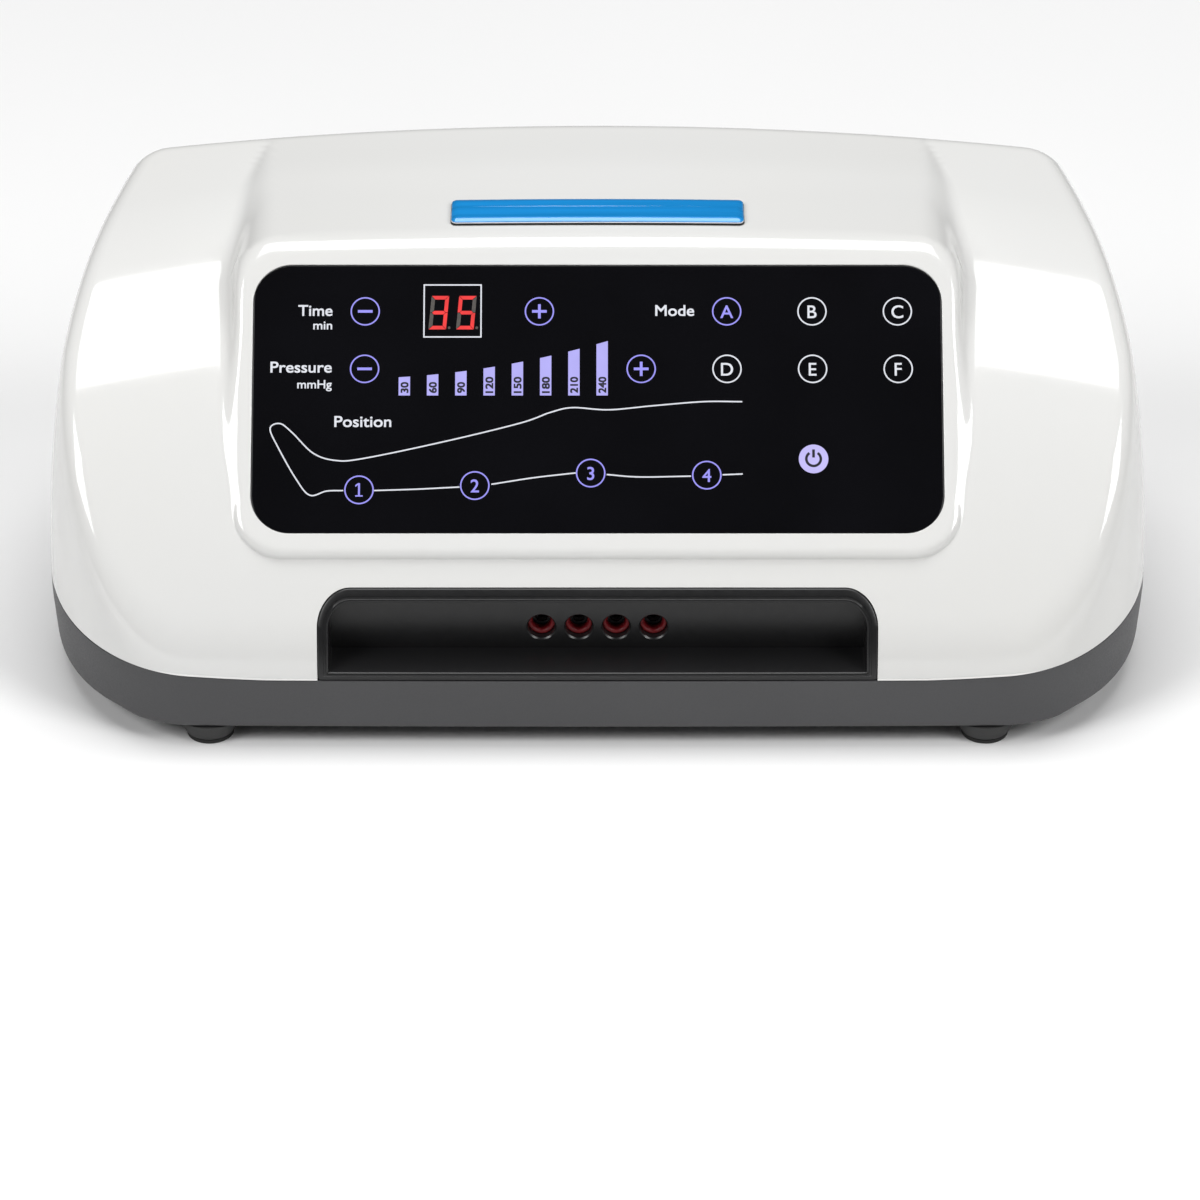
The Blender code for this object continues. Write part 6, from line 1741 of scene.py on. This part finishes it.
class PUMP_OT_outlet_bay(Operator):
    """Makes the black bezel with its beaded inner edge, and the plate with four holes"""

    bl_idname = "pump.outlet_bay"
    bl_label = "Outlet bay"

    def execute(self, context):
        shape, outlet = CaseShape(), settings("outlet")
        black = finish_of(satin_black)
        back = BEZEL_HIGH.y

        def ring(side, top, sill, corner):
            return bay_ring(side, top, sill, corner)

        def on_front(flat, proud):
            starts = np.column_stack([flat[:, 0], np.full(len(flat), back), flat[:, 1]])
            ahead = np.broadcast_to([0.0, -1.0, 0.0], starts.shape)
            return shape.solve(starts, ahead, shape.outside, proud)

        def at_back(flat):
            return np.column_stack([flat[:, 0], np.full(len(flat), back), flat[:, 1]])

        def moved_in(part):
            """Outline part of the way from the bezel's outside to its inside."""
            side = GAP + (outlet.side - GAP) * part
            top = GAP + (outlet.top - GAP) * part
            sill = GAP + (outlet.sill - GAP) * part
            return ring(side, top, sill, outlet.corner - GAP - (outlet.side - GAP) * part)

        edge = outlet.bead / outlet.side
        rings = [at_back(moved_in(0)), on_front(moved_in(0), -0.0004), on_front(moved_in(0), -0.0001)]
        rings.append(on_front(moved_in(0.03), outlet.proud * 0.6))
        rings.append(on_front(moved_in(0.08), outlet.proud))
        rings.append(on_front(moved_in(0.5), outlet.proud))
        rings.append(on_front(moved_in(1 - 2.6 * edge), outlet.proud))
        rings.append(on_front(moved_in(1 - 2.4 * edge), outlet.proud - 0.00016))
        rings.append(on_front(moved_in(1 - 1.5 * edge), outlet.proud - 0.00016))
        for angle in np.linspace(0, pi / 2, 7):
            part = 1 - edge * 1.3 * (1 - sin(angle))
            rings.append(on_front(moved_in(part), outlet.proud - outlet.bead * (1 - cos(angle))))
        rings.append(at_back(moved_in(1)))
        skin = grid(np.array(rings), closed_rows=True)
        bezel = add_piece("bay_bezel", skin, black)
        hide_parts("outlet_bezel")
        flat = moved_in(0)
        rows = []
        for y in (PLATE_LOW.y, PLATE_HIGH.y):
            rows.append(np.column_stack([flat[:, 0], np.full(len(flat), y), flat[:, 1]]))
        plate = add_piece("port_plate_face", grid(np.array(rows), cap_first=True, cap_last=True), black)
        holes = []
        for x, z in port_places():
            flare = outlet.chamfer + OVERRUN
            profile = [
                (outlet.hole + flare, PLATE_LOW.y - OVERRUN),
                (outlet.hole, PLATE_LOW.y + outlet.chamfer),
                (outlet.hole, PLATE_HIGH.y + OVERRUN),
            ]
            holes.append(turned(profile, (x, 0, z), "Y", 64, closed=False))
        cut_away(plate, joined(holes))
        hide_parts("port_plate")
        return {"FINISHED"}


def port_places():
    for name in numbered("outlet_seal"):
        low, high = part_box(name)
        yield (low.x + high.x) / 2, (low.z + high.z) / 2


class PUMP_OT_seals(Operator):
    """Makes the four red silicone seals behind the holes, each with a rolled lip"""

    bl_idname = "pump.seals"
    bl_label = "Outlet seals"

    def execute(self, context):
        bore = settings("outlet").seal_bore
        for name in numbered("outlet_seal"):
            low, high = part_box(name)
            outer = (high.x - low.x) / 2
            place = ((low.x + high.x) / 2, 0, (low.z + high.z) / 2)
            lip = 0.0008
            profile = [
                (bore + lip, low.y),
                (outer, low.y),
                (outer, high.y),
                (bore, high.y),
                (bore, low.y + 2 * lip),
                (bore + lip * 0.3, low.y + lip * 0.6),
            ]
            skin = turned(eased(profile, 0.0005, True), place, "Y", 64)
            seal = add_piece(name.replace("outlet", "silicone"), skin, finish_of(silicone))
            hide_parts(name)
        return {"FINISHED"}


# Mains inlet and switch.


def in_plane(ring, y):
    return np.column_stack([ring[:, 0], np.full(len(ring), y), ring[:, 1]])


def fitting_ring(low, high, inset, corner, flat=()):
    """A fitting's outline seen from behind, as (x, z), moved in by an inset."""
    corners = corner if isinstance(corner, tuple) else even(corner)
    box_low, box_high = (low.x + inset, low.z + inset), (high.x - inset, high.z - inset)
    return rounded_outline(box_low, box_high, corners, (4, 4, (6, 6, 6, 6)), flat)


class PUMP_OT_mains_inlet(Operator):
    """Makes the three-pin mains inlet with its flange, well and plated pins"""

    bl_idname = "pump.mains_inlet"
    bl_label = "Mains inlet"

    def execute(self, context):
        low, high = INLET_LOW, INLET_HIGH
        seat = high.y - FLANGE
        well = high.y - 0.0165
        rim = INLET_BODY_INSET + 0.002
        mouth = ((0.0012, 0.0012), (0.0012, 0.0012), (0.005, 0.005), (0.005, 0.005))
        rings = [
            in_plane(fitting_ring(low, high, INLET_BODY_INSET, 0.001), low.y),
            in_plane(fitting_ring(low, high, INLET_BODY_INSET, 0.001), seat),
            in_plane(fitting_ring(low, high, 0, 0.0025), seat),
        ]
        for angle in np.linspace(0, pi / 2, 5):
            inset, drop = 0.0007 * (1 - cos(angle)), 0.0007 * (1 - sin(angle))
            rings.append(in_plane(fitting_ring(low, high, inset, 0.0025), high.y - drop))
        rings.append(in_plane(fitting_ring(low, high, rim - 0.0006, mouth, (2, 3)), high.y))
        for angle in np.linspace(0, pi / 2, 5):
            inset, drop = 0.0004 * (1 - sin(angle)), 0.0004 * (1 - cos(angle))
            rings.append(in_plane(fitting_ring(low, high, rim - inset, mouth, (2, 3)), high.y - drop))
        rings.append(in_plane(fitting_ring(low, high, rim, mouth, (2, 3)), well))
        skin = grid(np.array(rings), cap_first=True, cap_last=True)
        socket = add_piece("inlet_body", skin, finish_of(fitting_black))
        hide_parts("inlet_socket")
        middle_x, middle_z = (low.x + high.x) / 2, (low.z + high.z) / 2
        pins = []
        for x, z in ((-0.007, -0.001), (0, 0.002), (0.007, -0.001)):
            pin_low = (middle_x + x - 0.001, middle_z + z - 0.002)
            pin_high = (middle_x + x + 0.001, middle_z + z + 0.002)
            sizes = ((0, well - 0.0005), (0, high.y - 0.0062), (0.0003, high.y - 0.0057), (0.0007, high.y - 0.0055))
            rows = []
            for inset, y in sizes:
                box = ((pin_low[0] + inset, pin_low[1] + inset), (pin_high[0] - inset, pin_high[1] - inset))
                rows.append(in_plane(rounded_outline(*box, even(0.0003), (2, 2, (3, 3, 3, 3))), y))
            pins.append(grid(np.array(rows), cap_first=True, cap_last=True))
        add_piece("inlet_pins", joined(pins), finish_of(plated_steel))
        return {"FINISHED"}


ROCKER_TILT = radians(10)
ROCKER_PIVOT_DEPTH = 0.0028
ROCKER_PROUD = 0.0003
ROCKER_BACK = 0.0075
SWITCH_WALL = 0.0015
SWING_CLEARANCE = 0.0006


def rocker_side(reach, steps=14):
    """Side view of the rocker about its pivot, as (out, up): two faces, round ends and back."""
    rise = (ROCKER_PIVOT_DEPTH + ROCKER_PROUD + reach * sin(ROCKER_TILT)) / cos(ROCKER_TILT)
    edge = (reach**2 - rise**2) ** 0.5
    lead = np.arctan2(edge, rise)
    valley = rise - edge * tan(ROCKER_TILT)
    face = np.linspace(0, 1, steps)[1:-1]
    upper = np.stack([valley + (rise - valley) * face, edge * face], axis=-1)
    turn = np.linspace(lead, pi / 2, 5)
    end = reach * np.stack([np.cos(turn), np.sin(turn)], axis=-1)
    half_turn = np.linspace(0, pi, 2 * steps + 1)[1:-1]
    back = np.stack([-ROCKER_BACK * np.sin(half_turn), reach * np.cos(half_turn)], axis=-1)
    mirror = np.array([1, -1])
    return np.concatenate([[(valley, 0)], upper, end, back, end[::-1] * mirror, upper[::-1] * mirror])


def tipped(points, place):
    """Points in the rocker's own frame turned by its tilt about X, and put at its pivot."""
    x, y, z = np.moveaxis(points, -1, 0)
    c, s = cos(ROCKER_TILT), sin(ROCKER_TILT)
    return np.stack([x, c * y - s * z, s * y + c * z], axis=-1) + np.array(place)


class PUMP_OT_mains_switch(Operator):
    """Makes the mains switch: its frame, and the rocker with its on and off marks"""

    bl_idname = "pump.mains_switch"
    bl_label = "Mains switch"

    def execute(self, context):
        low, high = SWITCH_LOW, SWITCH_HIGH
        black = finish_of(fitting_black)
        seat = high.y - FLANGE
        well = SWITCH_BODY_INSET + SWITCH_WALL
        rings = [
            in_plane(fitting_ring(low, high, SWITCH_BODY_INSET, 0.0008), low.y),
            in_plane(fitting_ring(low, high, SWITCH_BODY_INSET, 0.0008), seat),
            in_plane(fitting_ring(low, high, 0, 0.0018), seat),
        ]
        for angle in np.linspace(0, pi / 2, 5):
            inset, drop = 0.0007 * (1 - cos(angle)), 0.0007 * (1 - sin(angle))
            rings.append(in_plane(fitting_ring(low, high, inset, 0.0018), high.y - drop))
        for angle in np.linspace(0, pi / 2, 4):
            inset, drop = 0.0003 * (1 - sin(angle)), 0.0003 * (1 - cos(angle))
            rings.append(in_plane(fitting_ring(low, high, well - inset, 0.0005), high.y - drop))
        rings.append(in_plane(fitting_ring(low, high, well, 0.0005), low.y + SWITCH_WALL))
        skin = grid(np.array(rings), cap_first=True, cap_last=True)
        surround = add_piece("switch_frame", skin, black)
        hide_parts("rocker_frame")
        half = (high.x - low.x) / 2 - well - GAP
        reach = (high.z - low.z) / 2 - well - SWING_CLEARANCE
        pivot = ((low.x + high.x) / 2, high.y - ROCKER_PIVOT_DEPTH, (low.z + high.z) / 2)
        rows = []
        edge = 0.0005
        for across, shrink in rocker_edges(half, edge):
            side = rocker_side(reach) * (1 - shrink / reach)
            rows.append(np.column_stack([np.full(len(side), across), side]))
        skin = grid(tipped(np.array(rows), pivot), cap_first=True, cap_last=True)
        rocker = add_piece("rocker_key", skin, black, body="rocker")
        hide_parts("mains_rocker")
        side = rocker_side(reach)
        valley, peak = side[0], side[side[:, 1].argmax() // 1]
        rise = (ROCKER_PIVOT_DEPTH + ROCKER_PROUD + reach * sin(ROCKER_TILT)) / cos(ROCKER_TILT)
        span = (reach**2 - rise**2) ** 0.5
        lift = 0.00004

        def on_key(flat, upper):
            """Points of one face: out from the valley, up along it, and a little proud."""
            u, v = flat[..., 0], flat[..., 1]
            way = 1 if upper else -1
            out = valley[0] + np.abs(v) / span * (rise - valley[0]) + lift
            return tipped(np.stack([u, out, way * np.abs(v)], axis=-1), pivot)

        middle = span * 0.55
        stroke = np.array(bar((0, middle), 0.0004, 0.0017))
        line = Skin(on_key(stroke, True), None, [np.arange(4)[::-1]])
        flat, whole = flat_ring((0, middle), 0.0015, 0.0007)
        loop = grid(on_key(flat, False), closed_columns=True)
        marks = add_piece("rocker_marks", joined([line, loop]), finish_of(tag_white), "rocker", False)
        turn_to(marks.data, np.array([0.0, 1.0, 0.0]))
        return {"FINISHED"}


def rocker_edges(half, edge):
    """Places across the rocker, and how far its side view shrinks there to round the edge."""
    angle = np.linspace(0, pi / 2, 4)
    shrink = edge * (1 - np.sin(angle))
    across = half - edge * (1 - np.cos(angle))[::-1]
    across = half - edge + edge * np.cos(angle)
    right = list(zip(across[::-1], shrink[::-1]))
    left = [(-x, s) for x, s in zip(across, shrink)]
    return left + right


def turn_to(mesh, toward):
    """Turns over every face whose back looks along a direction."""
    body = bmesh.new()
    body.from_mesh(mesh)
    body.normal_update()
    wrong = [face for face in body.faces if face.normal.dot(toward) < 0]
    bmesh.ops.reverse_faces(body, faces=wrong)
    body.to_mesh(mesh)
    body.free()


class PUMP_OT_feet(Operator):
    """Makes the four feet with their snap heads, and the rubber pads under them"""

    bl_idname = "pump.feet"
    bl_label = "Feet"

    def execute(self, context):
        for name in numbered("foot"):
            low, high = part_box(name)
            radius = (high.x - low.x) / 2
            place = ((low.x + high.x) / 2, (low.y + high.y) / 2, 0)
            collar = UNDERSIDE - GAP
            floor = UNDERSIDE + FLOOR_THICKNESS + GAP
            bowl = np.linspace(0, 1, 7)[:, None]
            bowl = np.hstack([radius - 0.002 * (1 - bowl) ** 2, low.z + (collar - low.z) * bowl])
            profile = [
                (0.0004, low.z),
                *bowl,
                (FOOT_HOLE_RADIUS - GAP, collar),
                (FOOT_HOLE_RADIUS - GAP, floor),
                (0.0044, floor),
                (FOOT_HOLE_RADIUS - GAP, high.z),
                (0.0004, high.z),
            ]
            skin = turned(eased(profile, 0.0005), place, steps=64, closed=False)
            foot = add_piece(name.replace("foot", "foot_cone"), skin, finish_of(foot_grey))
            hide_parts(name)
        for name in numbered("foot_pad"):
            low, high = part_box(name)
            radius = (high.x - low.x) / 2
            place = ((low.x + high.x) / 2, (low.y + high.y) / 2, 0)
            profile = [(0.0004, low.z), (radius, low.z), (radius, high.z), (0.0004, high.z)]
            skin = turned(eased(profile, 0.0004), place, steps=64, closed=False)
            pad = add_piece(name.replace("foot", "rubber"), skin, finish_of(foot_rubber))
            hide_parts(name)
        return {"FINISHED"}


class PUMP_OT_inner_finishes(Operator):
    """Gives the parts inside the case, and the screws, their finishes"""

    bl_idname = "pump.inner_finishes"
    bl_label = "Inner finishes"

    def execute(self, context):
        repaint(milky_guide, "light_guide")
        repaint(display_body, "digit_display")
        repaint(touch_board, "touch_board")
        repaint(circuit_board, "main_board")
        repaint(nylon, "valve_block", "pump_head_front", "pump_head_rear")
        repaint(clear_hose, *numbered("outlet_hose"), "feed_hose", "link_hose")
        repaint(fitting_black, "outlet_manifold", *numbered("solenoid_coil"))
        repaint(plated_steel, *numbered("valve_plunger"), *numbered("case_screw"))
        repaint(cast_alloy, "pump_frame", "armature")
        repaint(core_steel, "magnet_core_left", "magnet_core_right", "transformer")
        repaint(copper_winding, "winding_left", "winding_right")
        repaint(foot_rubber, "diaphragm_front", "diaphragm_rear", *numbered("pump_mount"))
        return {"FINISHED"}


def softbox(name, place, aim_at, size, power):
    """A square lamp that looks at a point."""
    lamp = bpy.data.lights.new(name, "AREA")
    lamp.shape = "RECTANGLE"
    lamp.size, lamp.size_y = size
    lamp.energy = power
    holder = bpy.data.objects.new(name, lamp)
    bpy.context.scene.collection.objects.link(holder)
    holder.location = place
    away = holder.location - type(holder.location)(aim_at)
    holder.rotation_euler = away.to_track_quat("Z", "Y").to_euler()
    return holder


class PUMP_OT_stage(Operator):
    """Sets up the camera, the pale floor and the soft studio light"""

    bl_idname = "pump.stage"
    bl_label = "Stage"

    def execute(self, context):
        studio = settings("studio")
        scene = context.scene
        lens = bpy.data.cameras.new("camera")
        lens.lens = studio.lens
        lens.sensor_width = 36
        camera = bpy.data.objects.new("camera", lens)
        scene.collection.objects.link(camera)
        camera.location = (studio.across, studio.back, studio.height)
        camera.rotation_euler = (pi / 2 - studio.elevation, 0, 0)
        scene.camera = camera
        scene.view_settings.view_transform = "Standard"
        half = studio.floor / 2
        level = 0.0
        across, along = np.meshgrid(np.linspace(-half, half, 3), np.linspace(-half, half, 3))
        flat = np.stack([across, along, np.full(across.shape, level)], axis=-1)
        mesh = mesh_from("studio_floor", grid(flat, closed_columns=False))
        mesh.materials.append(finish_of(studio_floor))
        floor = bpy.data.objects.new("studio_floor", mesh)
        scene.collection.objects.link(floor)
        world = bpy.data.worlds.new("studio_sky")
        world.use_nodes = True
        world.node_tree.nodes["Background"].inputs["Color"].default_value = (1, 1, 1, 1)
        world.node_tree.nodes["Background"].inputs["Strength"].default_value = studio.sky
        scene.world = world
        centre = (0, 0, 0.06)
        softbox("overhead", (0, 0.3, 3.2), centre, (2.6, 1.8), studio.overhead)
        softbox("left_box", (-2.2, -1.6, 2.3), centre, (1.2, 1.6), studio.side_light)
        softbox("right_box", (2.2, -1.6, 2.3), centre, (1.2, 1.6), studio.side_light)
        return {"FINISHED"}


PIECES = (
    PUMP_OT_upper_housing,
    PUMP_OT_lower_housing,
    PUMP_OT_touch_glass,
    PUMP_OT_touch_keys,
    PUMP_OT_labels,
    PUMP_OT_pressure_bars,
    PUMP_OT_digits,
    PUMP_OT_limb_line,
    PUMP_OT_nameplate,
    PUMP_OT_outlet_bay,
    PUMP_OT_seals,
    PUMP_OT_mains_inlet,
    PUMP_OT_mains_switch,
    PUMP_OT_feet,
    PUMP_OT_inner_finishes,
    PUMP_OT_stage,
)

GROUPS = {
    "case": PumpCaseSizes,
    "glass": PumpGlassSizes,
    "outlet": PumpOutletSizes,
    "marks": PumpPanelMarks,
    "colours": PumpColours,
    "studio": PumpStudio,
}


class PUMP_PT_pieces(Panel):
    """Lists the pump's pieces and its settings"""

    bl_idname = "PUMP_PT_pieces"
    bl_label = "Compression pump"
    bl_space_type = "VIEW_3D"
    bl_region_type = "UI"
    bl_category = "Pump"

    def draw(self, context):
        layout = self.layout
        for piece in PIECES:
            layout.operator(piece.bl_idname)
        for name, group in GROUPS.items():
            box = layout.box()
            box.label(text=name.capitalize())
            for key in group.__annotations__:
                box.prop(getattr(context.scene, "pump_" + name), key)


def register():
    for group in GROUPS.values():
        bpy.utils.register_class(group)
    for name, group in GROUPS.items():
        setattr(bpy.types.Scene, "pump_" + name, PointerProperty(type=group))
    for piece in PIECES:
        bpy.utils.register_class(piece)
    bpy.utils.register_class(PUMP_PT_pieces)


def unregister():
    bpy.utils.unregister_class(PUMP_PT_pieces)
    for piece in reversed(PIECES):
        bpy.utils.unregister_class(piece)
    for name, group in reversed(GROUPS.items()):
        delattr(bpy.types.Scene, "pump_" + name)
        bpy.utils.unregister_class(group)


def main():
    register()
    bpy.ops.pump.upper_housing()
    bpy.ops.pump.lower_housing()
    bpy.ops.pump.touch_glass()
    bpy.ops.pump.touch_keys()
    bpy.ops.pump.labels()
    bpy.ops.pump.pressure_bars()
    bpy.ops.pump.digits()
    bpy.ops.pump.limb_line()
    bpy.ops.pump.nameplate()
    bpy.ops.pump.outlet_bay()
    bpy.ops.pump.seals()
    bpy.ops.pump.mains_inlet()
    bpy.ops.pump.mains_switch()
    bpy.ops.pump.feet()
    bpy.ops.pump.inner_finishes()
    bpy.ops.pump.stage()


if __name__ == "__main__":
    main()
